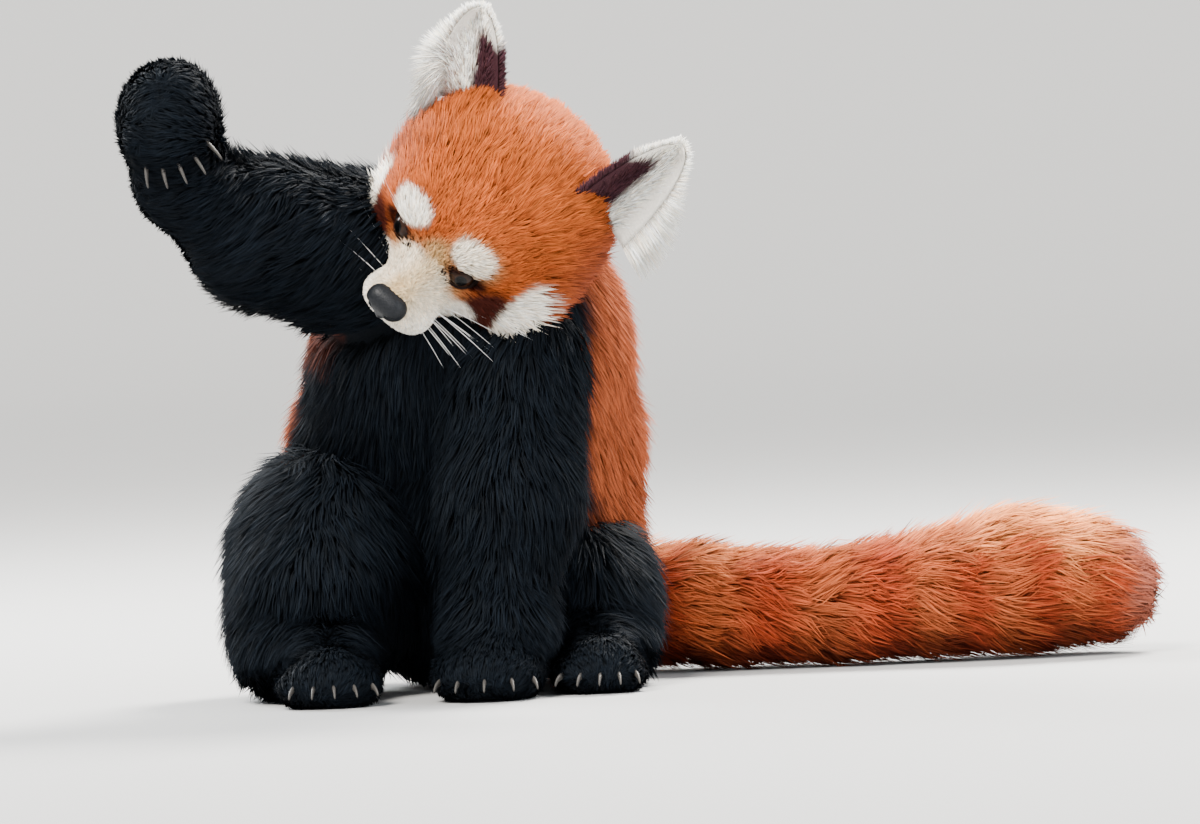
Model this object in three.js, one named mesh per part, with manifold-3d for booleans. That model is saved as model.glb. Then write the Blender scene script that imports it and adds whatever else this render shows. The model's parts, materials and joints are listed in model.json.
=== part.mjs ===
// A life-size red panda, sitting with one foreleg planted and the other arm raised.
// Millimetres, +Z up, the floor is z = 0, and the animal faces -Y. Left and right are the animal's own.
// Each sub-part is one closed solid. The solids reach the outside of the coat.
import * as THREE from "three";
import { mergeVertices } from "three/addons/utils/BufferGeometryUtils.js";
import Module from "manifold-3d";

const wasm = await Module();
wasm.setup();

// Driving dimensions
const GAP = 0.3; // kept between nodes that touch
const BODY_HALF_WIDTH = 118; // across the coat at the flanks
const SHOULDER_HEIGHT = 300; // floor to the top of the shoulders, sitting
const HEAD_SCALE = 1.07; // the head's own sizes below are for a small adult
const EYE_RADIUS = 9.2;
const EAR_LENGTHS = { left: 72, right: 58 }; // out of the coat. The right one is half hidden in it
const EAR_HALF_WIDTH = 25;
const CLAW_LENGTH = 10;
const TAIL_COAT_RADIUS = 43; // tail's axis to the tips of its coat, near the root
const TAIL_CORE_SHARE = 0.62; // how far the solid core of the tail reaches towards those tips

// Colours, as seen on the coat
const COAT_RED = 0xa2481f;
const COAT_BLACK = 0x15161c;
const COAT_WHITE = 0xf1e9dc;
const TAIL_RED = 0xb0501f;

const SEAT = [22, 50]; // where the middle of the rump rests. The sizes below are from a point ahead of it

const vec = (x, y, z) => new THREE.Vector3(x, y, z);

// The head's own frame: l to the animal's left, f forward to the nose, u up out of the crown
const HEAD_CENTRE = vec(43, -66, 296);
const HEAD_LEFT = vec(0.7076, -0.2456, -0.6626).normalize();
const HEAD_UP = vec(0.3038, -0.7408, 0.5991).normalize();
const HEAD_FORWARD = HEAD_UP.clone().cross(HEAD_LEFT).negate().normalize();

const inHead = (l, f, u) =>
  HEAD_CENTRE.clone()
    .addScaledVector(HEAD_LEFT, l * HEAD_SCALE)
    .addScaledVector(HEAD_FORWARD, f * HEAD_SCALE)
    .addScaledVector(HEAD_UP, u * HEAD_SCALE);

const headDirection = (l, f, u) =>
  vec(0, 0, 0)
    .addScaledVector(HEAD_LEFT, l)
    .addScaledVector(HEAD_FORWARD, f)
    .addScaledVector(HEAD_UP, u)
    .normalize();

// Rounded forms that the flesh and coat are built from. Each gives a signed distance.
function ellipsoid(centre, radii, axes = [vec(1, 0, 0), vec(0, 1, 0), vec(0, 0, 1)]) {
  return (p) => {
    const d = p.clone().sub(centre);
    const q = axes.map((axis, i) => d.dot(axis) / radii[i]);
    const k = Math.hypot(...q);
    const g = Math.hypot(...q.map((x, i) => x / radii[i]));
    return k < 1e-6 ? -Math.min(...radii) : (k * (k - 1)) / g;
  };
}

function taper(a, b, ra, rb) {
  const ab = b.clone().sub(a);
  const length2 = ab.lengthSq();
  return (p) => {
    const t = THREE.MathUtils.clamp(p.clone().sub(a).dot(ab) / length2, 0, 1);
    return p.distanceTo(a.clone().addScaledVector(ab, t)) - THREE.MathUtils.lerp(ra, rb, t);
  };
}

// Joins forms with a fillet of about the given size
function blend(forms, fillet) {
  return (p) =>
    forms.reduce((d, form) => {
      const e = form(p);
      const h = Math.max(fillet - Math.abs(d - e), 0) / fillet;
      return Math.min(d, e) - h * h * fillet * 0.25;
    }, 1e6);
}

const headEllipsoid = (l, f, u, rl, rf, ru) =>
  ellipsoid(inHead(l, f, u), [rl, rf, ru].map((r) => r * HEAD_SCALE), [HEAD_LEFT, HEAD_FORWARD, HEAD_UP]);

const headTaper = (a, b, ra, rb) => taper(inHead(...a), inHead(...b), ra * HEAD_SCALE, rb * HEAD_SCALE);

// Distance along a ray from inside a field to its surface
function reach(field, from, direction, grow) {
  const step = 3;
  const at = (t) => field(from.clone().addScaledVector(direction, t)) - grow;
  let near = 0;
  while (near < 400 && at(near + step) < 0) near += step;
  let far = near + step;
  for (let i = 0; i < 14; i++) {
    const middle = (near + far) / 2;
    if (at(middle) < 0) near = middle;
    else far = middle;
  }
  return (near + far) / 2;
}

// A closed skin round a field: rings of rays from a spine, with a fan of rays over each end
function wrap(field, spine, { around, side, startRows, endRows, endBias = 1, up = vec(0, 0, 1) }, grow = 0) {
  const rows = [];
  for (let i = 1; i < startRows; i++) rows.push({ t: 0, tilt: -Math.PI / 2 * (1 - i / startRows) });
  for (let i = 0; i <= side; i++) rows.push({ t: i / side, tilt: 0 });
  for (let i = 1; i < endRows; i++) {
    rows.push({ t: 1, tilt: Math.PI / 2 * (1 - (1 - i / endRows) ** endBias) });
  }
  const points = [];
  const cast = (t, direction) => {
    const from = spine.getPoint(t);
    points.push(from.addScaledVector(direction, reach(field, from, direction, grow)));
  };
  cast(0, spine.getTangent(0).negate());
  for (const { t, tilt } of rows) {
    const forward = spine.getTangent(t);
    const right = forward.clone().cross(up).normalize();
    const top = right.clone().cross(forward);
    for (let j = 0; j < around; j++) {
      const angle = (2 * Math.PI * j) / around;
      const out = right.clone().multiplyScalar(Math.cos(angle)).addScaledVector(top, Math.sin(angle));
      cast(t, out.multiplyScalar(Math.cos(tilt)).addScaledVector(forward, Math.sin(tilt)));
    }
  }
  cast(1, spine.getTangent(1));
  return ringSolid(points, rows.length, around);
}

// A closed solid from a start point, rings of points and an end point
function ringSolid(points, rings, around) {
  const at = (ring, j) => 1 + ring * around + (j % around);
  const last = points.length - 1;
  const faces = [];
  for (let j = 0; j < around; j++) {
    faces.push(0, at(0, j + 1), at(0, j), last, at(rings - 1, j), at(rings - 1, j + 1));
    for (let i = 0; i + 1 < rings; i++) {
      faces.push(at(i, j), at(i, j + 1), at(i + 1, j + 1), at(i, j), at(i + 1, j + 1), at(i + 1, j));
    }
  }
  return solidOf(new THREE.BufferGeometry().setFromPoints(points).setIndex(faces));
}

// three.js geometry to a solid, and back
function solidOf(geometry) {
  const bare = geometry.clone();
  bare.deleteAttribute("normal");
  bare.deleteAttribute("uv");
  const merged = mergeVertices(bare, 1e-4);
  const corners = new Uint32Array(merged.index.array);
  const build = () =>
    new wasm.Manifold(
      new wasm.Mesh({ numProp: 3, vertProperties: merged.attributes.position.array, triVerts: corners }),
    );
  const made = build();
  if (made.volume() > 0) return made;
  for (let i = 0; i < corners.length; i += 3) corners.subarray(i, i + 3).reverse();
  return build();
}

function geometryOf(solid) {
  const mesh = solid.getMesh();
  return new THREE.BufferGeometry()
    .setAttribute("position", new THREE.BufferAttribute(new Float32Array(mesh.vertProperties), 3))
    .setIndex(new THREE.BufferAttribute(new Uint32Array(mesh.triVerts), 1));
}

const largest = (solid) => solid.decompose().reduce((a, b) => (b.volume() > a.volume() ? b : a));
const joined = (solids) => solids.reduce((a, b) => a.add(b));

const FLOOR_CUT = solidOf(new THREE.BoxGeometry(2000, 2000, 400).translate(0, 0, -200));
const onFloor = (solid) => largest(solid.subtract(FLOOR_CUT));

// A sphere stretched to three radii along three axes
function egg(centre, radii, axes, across = 14, down = 10) {
  const frame = new THREE.Matrix4().makeBasis(...axes).scale(vec(...radii)).setPosition(centre);
  return solidOf(new THREE.SphereGeometry(1, across, down).applyMatrix4(frame));
}

// What is left of a solid on one side of a plane cut, and a little short of the plane
function beyond(solid, { at, normal }, short = GAP / 2) {
  const size = 1000;
  const turn = new THREE.Quaternion().setFromUnitVectors(vec(0, 0, 1), normal.clone().normalize());
  const box = new THREE.BoxGeometry(size, size, size).translate(0, 0, short - size / 2);
  return largest(solid.subtract(solidOf(box.applyQuaternion(turn).translate(at.x, at.y, at.z))));
}
function before(solid, { at, normal }, short) {
  return beyond(solid, { at, normal: normal.clone().negate() }, short);
}

// The way out of a field at a point
function outward(field, p) {
  const h = 0.5;
  const at = (axis, way) => field(p.clone().addScaledVector(axis, way * h));
  const slope = (axis) => at(axis, 1) - at(axis, -1);
  return vec(slope(vec(1, 0, 0)), slope(vec(0, 1, 0)), slope(vec(0, 0, 1))).normalize();
}

// A flat tapered lock: it leaves the coat at its root and bends over to lie along the coat
const LOCK_WIDTHS = [0.85, 1, 0.66];
function lock(root, out, lie, size, grow = 0, field = null) {
  const { lift, sink, length } = size;
  const width = size.width + 2.6 * grow;
  const thick = size.thick + 2.6 * grow;
  const along = lie.clone().addScaledVector(out, -lie.dot(out)).normalize();
  const side = along.clone().cross(out).normalize();
  const tip = root.clone().addScaledVector(out, lift * 0.8).addScaledVector(along, length);
  if (field) tip.addScaledVector(outward(field, tip), lift * 0.8 - field(tip));
  const curve = new THREE.QuadraticBezierCurve3(
    root.clone().addScaledVector(out, -sink).addScaledVector(along, -sink * 0.4),
    root.clone().addScaledVector(out, lift).addScaledVector(along, length * 0.4),
    tip,
  );
  const stations = LOCK_WIDTHS.length;
  const points = [curve.getPoint(0)];
  LOCK_WIDTHS.forEach((share, i) => {
    const t = i / stations;
    const centre = curve.getPoint(t);
    const face = side.clone().cross(curve.getTangent(t)).normalize();
    const half = (width / 2) * share;
    const deep = (thick / 2) * share;
    points.push(centre.clone().addScaledVector(side, half));
    points.push(centre.clone().addScaledVector(face, deep));
    points.push(centre.clone().addScaledVector(side, -half));
    points.push(centre.clone().addScaledVector(face, -deep));
  });
  points.push(tip.clone().addScaledVector(curve.getTangent(1), 5 * grow));
  return ringSolid(points, stations, 4);
}

// The same draws on every run
function seeded(seed) {
  let state = seed;
  return (low, high) => {
    state = (state * 16807) % 2147483647;
    return low + ((high - low) * state) / 2147483647;
  };
}

// Locks over a field. Each ray { from, direction } finds a root on it, and lie(root) gives the lie there
function coat(field, rays, lie, size, seed, grow = 0) {
  const draw = seeded(seed);
  return rays.map(({ from, direction }) => {
    const root = from.clone().addScaledVector(direction, reach(field, from, direction, 0));
    const out = outward(field, root);
    const way = lie(root, out).clone().add(vec(draw(-0.12, 0.12), draw(-0.12, 0.12), draw(-0.12, 0.12)));
    const own = {
      length: size.length * draw(0.86, 1.14),
      width: size.width * draw(0.85, 1.15),
      thick: size.thick * draw(0.85, 1.15),
      lift: size.lift * draw(0.8, 1.15),
      sink: size.sink,
    };
    return lock(root, out, way, own, grow, field);
  });
}

// Torso: rump, loin and chest, leaning a little forward
const torsoField = blend(
  [
    ellipsoid(vec(22, 50, 84), [BODY_HALF_WIDTH - 3, 92, 90]),
    ellipsoid(vec(22, 36, 150), [BODY_HALF_WIDTH, 88, 92]),
    ellipsoid(vec(28, 2, 210), [106, 82, SHOULDER_HEIGHT - 210]),
  ],
  30,
);
const torsoSpine = new THREE.LineCurve3(vec(24, 12, 222), vec(22, 42, 84));
const TORSO_ROWS = { around: 24, side: 6, startRows: 5, endRows: 5, up: vec(0, 1, 0) };
const torsoSolid = (grow) => wrap(torsoField, torsoSpine, TORSO_ROWS, grow);

// Neck: a thick short collar of coat between the shoulders and the back of the head
const neckField = blend([taper(vec(32, 4, 244), vec(48, -40, 292), 84, 66)], 10);
const neckSpine = new THREE.LineCurve3(vec(32, 4, 244), vec(48, -40, 292));
const neckSolid = (grow) =>
  wrap(neckField, neckSpine, { around: 14, side: 2, startRows: 3, endRows: 3, up: vec(1, 0, 0) }, grow);

// Head: cranium, crown, cheeks, brows, muzzle and chin
const headField = blend(
  [
    headEllipsoid(0, -4, 2, 72, 64, 56),
    headEllipsoid(0, -18, 10, 66, 56, 56),
    headEllipsoid(42, 12, -20, 30, 32, 30),
    headEllipsoid(-42, 12, -20, 30, 32, 30),
    headEllipsoid(21, 37, 17, 17, 18, 15),
    headEllipsoid(-21, 37, 17, 17, 18, 15),
    headTaper([0, 40, -18], [0, 72, -21], 27, 16),
    headTaper([0, 34, -36], [0, 62, -35], 22, 11),
  ],
  15,
);
const headSpine = new THREE.LineCurve3(inHead(0, -14, 2), inHead(0, 30, -14));
const HEAD_ROWS = { around: 26, side: 3, startRows: 6, endRows: 13, endBias: 1.15, up: HEAD_UP };
const headSolid = (grow) => wrap(headField, headSpine, HEAD_ROWS, grow);
const onHead = (l, f, u) => {
  const from = inHead(0, 20, -10);
  const direction = inHead(l, f, u).sub(from).normalize();
  return from.addScaledVector(direction, reach(headField, from, direction, 0));
};

const HEAD_AXES = [HEAD_LEFT, HEAD_FORWARD, HEAD_UP];

// Eyes sit in sockets behind lids that leave an almond opening
const EYE_SIDE = 20.5;
const EYE_FORWARD = 49.5;
const EYE_UP = 6;
const eyeCentre = (s) => inHead(s * EYE_SIDE, EYE_FORWARD, EYE_UP);
function eyeAxes(s) {
  const look = headDirection(s * 0.46, 0.86, 0.2);
  const side = look.clone().cross(headDirection(s * -0.25, 0, 1)).normalize();
  return [side, look, side.clone().cross(look)];
}
const eyeball = (s, radius) => egg(eyeCentre(s), [radius, radius, radius], eyeAxes(s), 12, 8);
const eyeOpening = (s) => {
  const axes = eyeAxes(s);
  const centre = eyeCentre(s).addScaledVector(axes[1], EYE_RADIUS);
  return egg(centre, [EYE_RADIUS * 0.98, EYE_RADIUS * 1.1, EYE_RADIUS * 0.62], axes, 12, 8);
};

// Nose pad with two nostrils
const NOSE_AT = [0, 86, -16];
const NOSE_RADII = [12.5, 9.5, 9.5];
function noseSolid(grow = 0) {
  const pad = egg(inHead(...NOSE_AT), NOSE_RADII.map((r) => r * HEAD_SCALE + grow), HEAD_AXES, 12, 8);
  if (grow > 0) return pad;
  const nostrils = [-1, 1].map((s) => egg(inHead(s * 6.6, 95, -18.5), [3, 5, 2.2], HEAD_AXES, 8, 5));
  return pad.subtract(joined(nostrils));
}

// The mouth line runs from under the nose back along each side of the muzzle
const MOUTH = [
  [-27, 46, -40],
  [-20, 60, -36],
  [-10, 76, -33],
  [0, 84, -29],
  [10, 76, -33],
  [20, 60, -36],
  [27, 46, -40],
];
function sweep(points, radius, sides, steps) {
  const curve = new THREE.CatmullRomCurve3(points);
  const section = new THREE.Shape().absarc(0, 0, radius, 0, 2 * Math.PI);
  return solidOf(
    new THREE.ExtrudeGeometry(new THREE.Shape(section.getPoints(sides / 2).slice(0, -1)), {
      steps,
      extrudePath: curve,
      bevelEnabled: false,
    }),
  );
}
function mouthLine() {
  const line = MOUTH.map((p) => onHead(...p));
  return sweep(line, 1.5, 4, 12);
}
function lipBead(grow) {
  const line = MOUTH.map(([l, f, u]) => onHead(l, f, u - 3.4));
  return sweep(line, 2.6 + grow, 6, 12);
}

// Long coat of the head: the ruff behind each cheek, and the fringe that hangs from below each ear
const RUFF = [
  [60, -16, 28],
  [68, -8, 6],
  [64, 0, -22],
  [52, 6, -42],
  [60, -34, 8],
  [58, -26, -22],
];
function headCoat(s, grow) {
  const from = inHead(s * 20, -8, 0);
  const rays = RUFF.map(([l, f, u]) => ({ from, direction: inHead(s * l, f, u).sub(from).normalize() }));
  const size = { length: 38, width: 27, thick: 7, lift: 6, sink: 7 };
  return coat(headField, rays, () => headDirection(s * 0.35, -0.45, -0.75), size, s > 0 ? 7 : 9, grow);
}

// Whole head, with coat, lids, lips, mouth line and sockets
function headOutside(grow) {
  const lids = [-1, 1].map((s) => eyeball(s, EYE_RADIUS + 2.4 + grow));
  return joined([headSolid(grow), lipBead(grow), ...lids, ...headCoat(1, grow), ...headCoat(-1, grow)]);
}
function headNode() {
  const sockets = [-1, 1].map((s) => eyeball(s, EYE_RADIUS + GAP));
  const openings = [-1, 1].map(eyeOpening);
  return headOutside(0)
    .subtract(mouthLine())
    .subtract(joined([...sockets, ...openings]));
}

// Ears: a leaf-shaped cup whose hollow faces forward and out
const EARS = {
  left: { root: [56, -28, 42], up: [0.2, -0.42, 0.88], face: [0.5, 0.85, 0.2] },
  right: { root: [-54, -28, 44], up: [-0.34, -0.3, 0.86], face: [0.1, 0.95, 0.3] },
};
function earNode(name) {
  const ear = EARS[name];
  const root = inHead(...ear.root);
  const up = headDirection(...ear.up);
  const face = headDirection(...ear.face);
  const side = up.clone().cross(face).normalize();
  const front = side.clone().cross(up).normalize();
  const rows = 7;
  const columns = 7;
  const halfWidth = (v) => EAR_HALF_WIDTH * Math.sqrt(Math.max(1 - v ** 2.2, 0)) * (1 - 0.12 * v);
  const surface = (v, w, back) => {
    const hollow = 13 * (1 - w * w) * (1 - 0.55 * v);
    const thick = back ? 6.5 * (1 - w * w) * (1 - 0.5 * v) + 0.9 : 0;
    return root
      .clone()
      .addScaledVector(up, -14 + v * (EAR_LENGTHS[name] + 14))
      .addScaledVector(side, w * halfWidth(v))
      .addScaledVector(front, 8 - hollow - thick);
  };
  const points = [surface(0, 0, false).lerp(surface(0, 0, true), 0.5)];
  for (let i = 0; i < rows; i++) {
    const v = i / rows;
    for (let j = 0; j <= columns; j++) points.push(surface(v, -1 + (2 * j) / columns, false));
    for (let j = columns; j >= 0; j--) points.push(surface(v, -1 + (2 * j) / columns, true));
  }
  points.push(surface(0.985, 0, false).lerp(surface(0.985, 0, true), 0.5));
  const shell = ringSolid(points, rows, 2 * (columns + 1));
  const outer = name === "left" ? 1 : -1;
  const fringe = [0.24, 0.44, 0.64].map((v) => {
    const rim = surface(v, outer * 0.78, false).lerp(surface(v, outer * 0.78, true), 0.5);
    const out = side.clone().multiplyScalar(outer).addScaledVector(front, 0.35).normalize();
    const lie = up.clone().multiplyScalar(v - 0.55).addScaledVector(out, 0.3).addScaledVector(front, 0.25);
    return lock(rim, out, lie, { length: 25 - 8 * v, width: 20, thick: 4, lift: 4, sink: 4 });
  });
  return joined([shell, ...fringe]);
}

// Limbs: each length is wrapped from its own spine, on the field of the whole limb, and cut at its joints
const LIMB_ROWS = { around: 16, side: 3, startRows: 3, endRows: 4 };
function limb({ field, spines, cuts, up, rows = [] }, locks, grow = 0) {
  const short = grow > 0 ? -grow : GAP / 2;
  return spines.map(([a, b], i) => {
    const skin = wrap(field, new THREE.LineCurve3(a, b), { ...LIMB_ROWS, up, ...rows[i] }, grow);
    let solid = joined([skin, ...locks]);
    if (i > 0) solid = beyond(solid, cuts[i - 1], short);
    return i < cuts.length ? before(solid, cuts[i], short) : solid;
  });
}

// Right arm, raised: shoulder, elbow, wrist and a paw curled as if round a stem
const ARM = {
  shoulder: vec(-22, -22, 268),
  elbow: vec(-92, -68, 290),
  wrist: vec(-141, -100, 324),
  paw: vec(-147, -112, 362),
};
const armField = blend(
  [
    taper(ARM.shoulder, ARM.elbow, 62, 50),
    taper(ARM.elbow, ARM.wrist, 48, 30),
    taper(ARM.wrist, ARM.paw, 29, 31),
    ellipsoid(vec(-146, -116, 364), [32, 31, 36]),
    ellipsoid(vec(-150, -132, 350), [27, 18, 20]),
  ],
  16,
);
const armLine = [ARM.shoulder, ARM.elbow, vec(-128, -96, 308), ARM.wrist, ARM.paw];
const armSpine = new THREE.CatmullRomCurve3(armLine);
const armLimb = {
  field: armField,
  spines: [
    [ARM.shoulder, ARM.elbow],
    [vec(-104, -78, 292), ARM.wrist],
    [vec(-142, -102, 334), vec(-146, -115, 364)],
  ],
  cuts: [
    { at: vec(-104, -80, 295), normal: vec(-0.74, -0.36, 0.57) },
    { at: vec(-143, -104, 334), normal: vec(-0.2, -0.25, 0.95) },
  ],
  up: vec(0, 1, 0.2),
};

// Left foreleg, planted between the hind feet
const FORELEG = {
  shoulder: vec(52, -38, 212),
  elbow: vec(49, -66, 122),
  wrist: vec(38, -84, 44),
  paw: vec(32, -98, 22),
};
const forelegField = blend(
  [
    taper(FORELEG.shoulder, FORELEG.elbow, 56, 48),
    taper(FORELEG.elbow, FORELEG.wrist, 47, 36),
    taper(FORELEG.wrist, FORELEG.paw, 34, 29),
    ellipsoid(vec(31, -104, 15), [36, 36, 21]),
  ],
  14,
);
const forelegLimb = {
  field: forelegField,
  spines: [
    [FORELEG.shoulder, FORELEG.elbow],
    [FORELEG.elbow, FORELEG.wrist],
    [vec(35, -86, 34), vec(31, -102, 18)],
  ],
  cuts: [
    { at: FORELEG.elbow, normal: vec(-0.08, -0.24, -0.97) },
    { at: vec(37, -86, 38), normal: vec(-0.15, -0.4, -0.9) },
  ],
  up: vec(0, 1, 0),
};

// Hind legs, folded, with the feet flat and pointing forward
const HIND_RIGHT = {
  thigh: ellipsoid(vec(-64, 4, 82), [72, 80, 84]),
  shank: taper(vec(-74, -40, 70), vec(-72, -50, 26), 52, 30),
  foot: taper(vec(-72, -40, 24), vec(-64, -104, 16), 30, 25),
  toes: ellipsoid(vec(-66, -112, 13), [34, 24, 17]),
  heel: ellipsoid(vec(-88, -22, 42), [48, 60, 50]),
  spine: [vec(-62, 20, 92), vec(-70, -20, 66), vec(-70, -66, 26), vec(-64, -108, 15)],
};
const HIND_LEFT = {
  thigh: ellipsoid(vec(88, 18, 62), [56, 72, 60]),
  shank: taper(vec(98, -16, 54), vec(100, -24, 24), 40, 28),
  foot: taper(vec(100, -14, 24), vec(102, -76, 16), 28, 23),
  toes: ellipsoid(vec(98, -82, 12), [31, 22, 15]),
  heel: ellipsoid(vec(100, -4, 36), [42, 52, 44]),
  spine: [vec(88, 30, 66), vec(96, -10, 46), vec(101, -44, 22), vec(102, -80, 14)],
};
const hindField = (leg) => blend([leg.thigh, leg.shank, leg.heel, leg.foot, leg.toes], 16);
const hindLimb = (leg) => ({
  field: hindField(leg),
  spines: [[leg.spine[0], leg.spine[1]], [leg.spine[2], leg.spine[3]]],
  cuts: [{ at: leg.spine[2].clone().add(vec(0, 8, 8)), normal: vec(0, -0.75, -0.66) }],
  up: vec(1, 0, 0),
  rows: [{ around: 18, side: 3, startRows: 5, endRows: 4 }],
});

// Tail: it leaves the rump behind, curls round to the animal's left and lies along the floor
const TAIL_PATH = [
  vec(48, 118, 56),
  vec(104, 116, 46),
  vec(172, 96, 41),
  vec(258, 84, 39),
  vec(318, 86, 44),
  vec(364, 90, 50),
  vec(412, 92, 46),
];
const TAIL_RADII = [40, TAIL_COAT_RADIUS, TAIL_COAT_RADIUS - 1, 40, 45, 51, 44];
const tailCurve = new THREE.CatmullRomCurve3(TAIL_PATH);
const tailRadius = (t) => {
  const s = t * (TAIL_RADII.length - 1);
  const i = Math.min(Math.floor(s), TAIL_RADII.length - 2);
  return THREE.MathUtils.lerp(TAIL_RADII[i], TAIL_RADII[i + 1], s - i);
};
function tailField(share) {
  const forms = TAIL_PATH.slice(1).map((point, i) =>
    taper(TAIL_PATH[i], point, TAIL_RADII[i] * share, TAIL_RADII[i + 1] * share),
  );
  return blend(forms, 8);
}
const TAIL_LOCK = { rows: 9, around: 6, length: 70, width: 43, thick: 9, sink: 8 };
function tailSolid() {
  const core = tailField(TAIL_CORE_SHARE);
  const body = wrap(core, tailCurve, { around: 12, side: 13, startRows: 3, endRows: 4 });
  const draw = seeded(41);
  const locks = [];
  for (let i = 0; i < TAIL_LOCK.rows; i++) {
    const t = 0.03 + (0.97 * (i + 0.5)) / TAIL_LOCK.rows;
    const from = tailCurve.getPoint(Math.min(t, 0.985));
    const along = tailCurve.getTangent(Math.min(t, 0.985));
    const side = along.clone().cross(vec(0, 0, 1)).normalize();
    for (let j = 0; j < TAIL_LOCK.around; j++) {
      const angle = (2 * Math.PI * (j + 0.5 * (i % 2) + draw(-0.18, 0.18))) / TAIL_LOCK.around;
      const direction = side.clone().multiplyScalar(Math.cos(angle)).add(vec(0, 0, Math.sin(angle)));
      if (direction.z < -0.85) continue;
      const rise = tailRadius(Math.min(t + 0.12, 1)) - tailRadius(t) * TAIL_CORE_SHARE;
      const lie = () => along.clone().add(vec(0, 0, -0.15));
      const size = { ...TAIL_LOCK, length: TAIL_LOCK.length * (1 - 0.3 * t), lift: rise * 1.12 };
      locks.push(...coat(core, [{ from, direction }], lie, size, 100 + 17 * i + j));
    }
  }
  for (let j = 0; j < 4; j++) {
    const angle = (2 * Math.PI * (j + 0.3)) / 4;
    const from = tailCurve.getPoint(0.97);
    const aside = vec(0, 0.75 * Math.cos(angle), 0.75 * Math.sin(angle));
    const direction = tailCurve.getTangent(1).add(aside).normalize();
    const lie = () => tailCurve.getTangent(1).addScaledVector(direction, 0.5);
    locks.push(...coat(core, [{ from, direction }], lie, { ...TAIL_LOCK, length: 32, lift: 12 }, 300 + j));
  }
  return joined([body, ...locks]);
}

// Long coat on the trunk and limbs: rings of roots round a spine, where the coat hangs or stands off
function rings(spine, up, stations, angles) {
  return stations.flatMap((t, i) => {
    const from = spine.getPoint(t);
    const forward = spine.getTangent(t);
    const right = forward.clone().cross(up).normalize();
    const top = right.clone().cross(forward);
    return angles.map((degrees) => {
      const angle = THREE.MathUtils.degToRad(degrees + (i % 2) * 17);
      return {
        from,
        direction: right.clone().multiplyScalar(Math.cos(angle)).addScaledVector(top, Math.sin(angle)),
      };
    });
  });
}
const BODY_LOCK = { length: 62, width: 56, thick: 9, lift: 5, sink: 8 };
const BACK_AND_FLANKS = rings(torsoSpine, vec(0, 1, 0), [0.08, 0.5, 0.92], [-4, 41, 86, 131, 176]);
const torsoCoat = (grow) => coat(torsoField, BACK_AND_FLANKS, () => vec(0, 0.15, -1), BODY_LOCK, 11, grow);
const armCoat = (grow) =>
  coat(
    armField,
    rings(armSpine, vec(0, 0, 1), [0.38, 0.62], [235, 275, 315]),
    () => vec(0.35, 0.05, -0.9),
    { ...BODY_LOCK, length: 46, width: 34, lift: 7 },
    13,
    grow,
  );
function thighCoat(leg, outerSide, seed, grow) {
  const rays = [0.5, 0.9].flatMap((height) =>
    [-30, 5, 40].map((degrees) => {
      const angle = THREE.MathUtils.degToRad(degrees);
      return {
        from: leg.spine[0].clone().setZ(leg.spine[0].z * height),
        direction: vec(outerSide * Math.cos(angle), Math.sin(angle), 0),
      };
    }),
  );
  const size = { ...BODY_LOCK, length: 44, width: 34, thick: 7, lift: 3 };
  return coat(hindField(leg), rays, () => vec(0, 0.25, -1), size, seed, grow);
}

// Claws: curved, flattened on the sides, sunk in the toe and cut clear of it
function claw(root, forward, down, length = CLAW_LENGTH) {
  const curve = new THREE.QuadraticBezierCurve3(
    root.clone().addScaledVector(forward, -length * 0.55),
    root.clone().addScaledVector(forward, length * 0.45),
    root.clone().addScaledVector(forward, length * 0.72).addScaledVector(down, length * 0.62),
  );
  const side = forward.clone().cross(down).normalize();
  const rings = 3;
  const sides = 4;
  const points = [curve.getPoint(0)];
  for (let i = 0; i < rings; i++) {
    const t = i / rings;
    const thick = 1.15 + 2 * (1 - t);
    const height = side.clone().cross(curve.getTangent(t)).normalize();
    for (let j = 0; j < sides; j++) {
      const angle = (2 * Math.PI * j) / sides;
      points.push(
        curve
          .getPoint(t)
          .addScaledVector(side, Math.cos(angle) * thick * 0.7)
          .addScaledVector(height, Math.sin(angle) * thick),
      );
    }
  }
  points.push(curve.getPoint(1));
  return ringSolid(points, rings, sides);
}

// Five claws in a fan across the front of a paw
const PAWS = {
  forepaw_left: {
    field: forelegField,
    from: vec(31, -100, 13),
    forward: vec(-0.05, -1, 0),
    down: vec(0, 0, -1),
  },
  hindfoot_right: {
    field: hindField(HIND_RIGHT),
    from: vec(-64, -108, 13),
    forward: vec(0.06, -1, 0),
    down: vec(0, 0, -1),
  },
  hindfoot_left: {
    field: hindField(HIND_LEFT),
    from: vec(102, -78, 12),
    forward: vec(-0.1, -1, 0),
    down: vec(0, 0, -1),
  },
  forepaw_right: {
    field: armField,
    from: vec(-148, -128, 350),
    forward: vec(0.3, -0.6, -0.74),
    down: vec(0.2, 0.75, -0.6),
    length: 8,
  },
};
const CLAW_FAN = [-50, -25, 0, 25, 50]; // degrees from the paw's own forward
function claws(name) {
  const { field, from, forward, down, length } = PAWS[name];
  const ahead = forward.clone().normalize();
  const below = down.clone().addScaledVector(ahead, -down.dot(ahead)).normalize();
  return CLAW_FAN.map((degrees) => {
    const direction = ahead.clone().applyAxisAngle(below, THREE.MathUtils.degToRad(degrees));
    const root = from.clone().addScaledVector(direction, reach(field, from, direction, 0));
    return claw(root, direction.lerp(ahead, 0.6).normalize(), below, length);
  });
}

// Assembly: each node is cut clear of the one that it grows from
const nodes = new Map();
const torso = onFloor(joined([torsoSolid(0), ...torsoCoat(0)]));
const torsoGrown = joined([torsoSolid(GAP), ...torsoCoat(GAP)]);
nodes.set("torso", { solid: torso, colour: COAT_RED });

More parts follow.
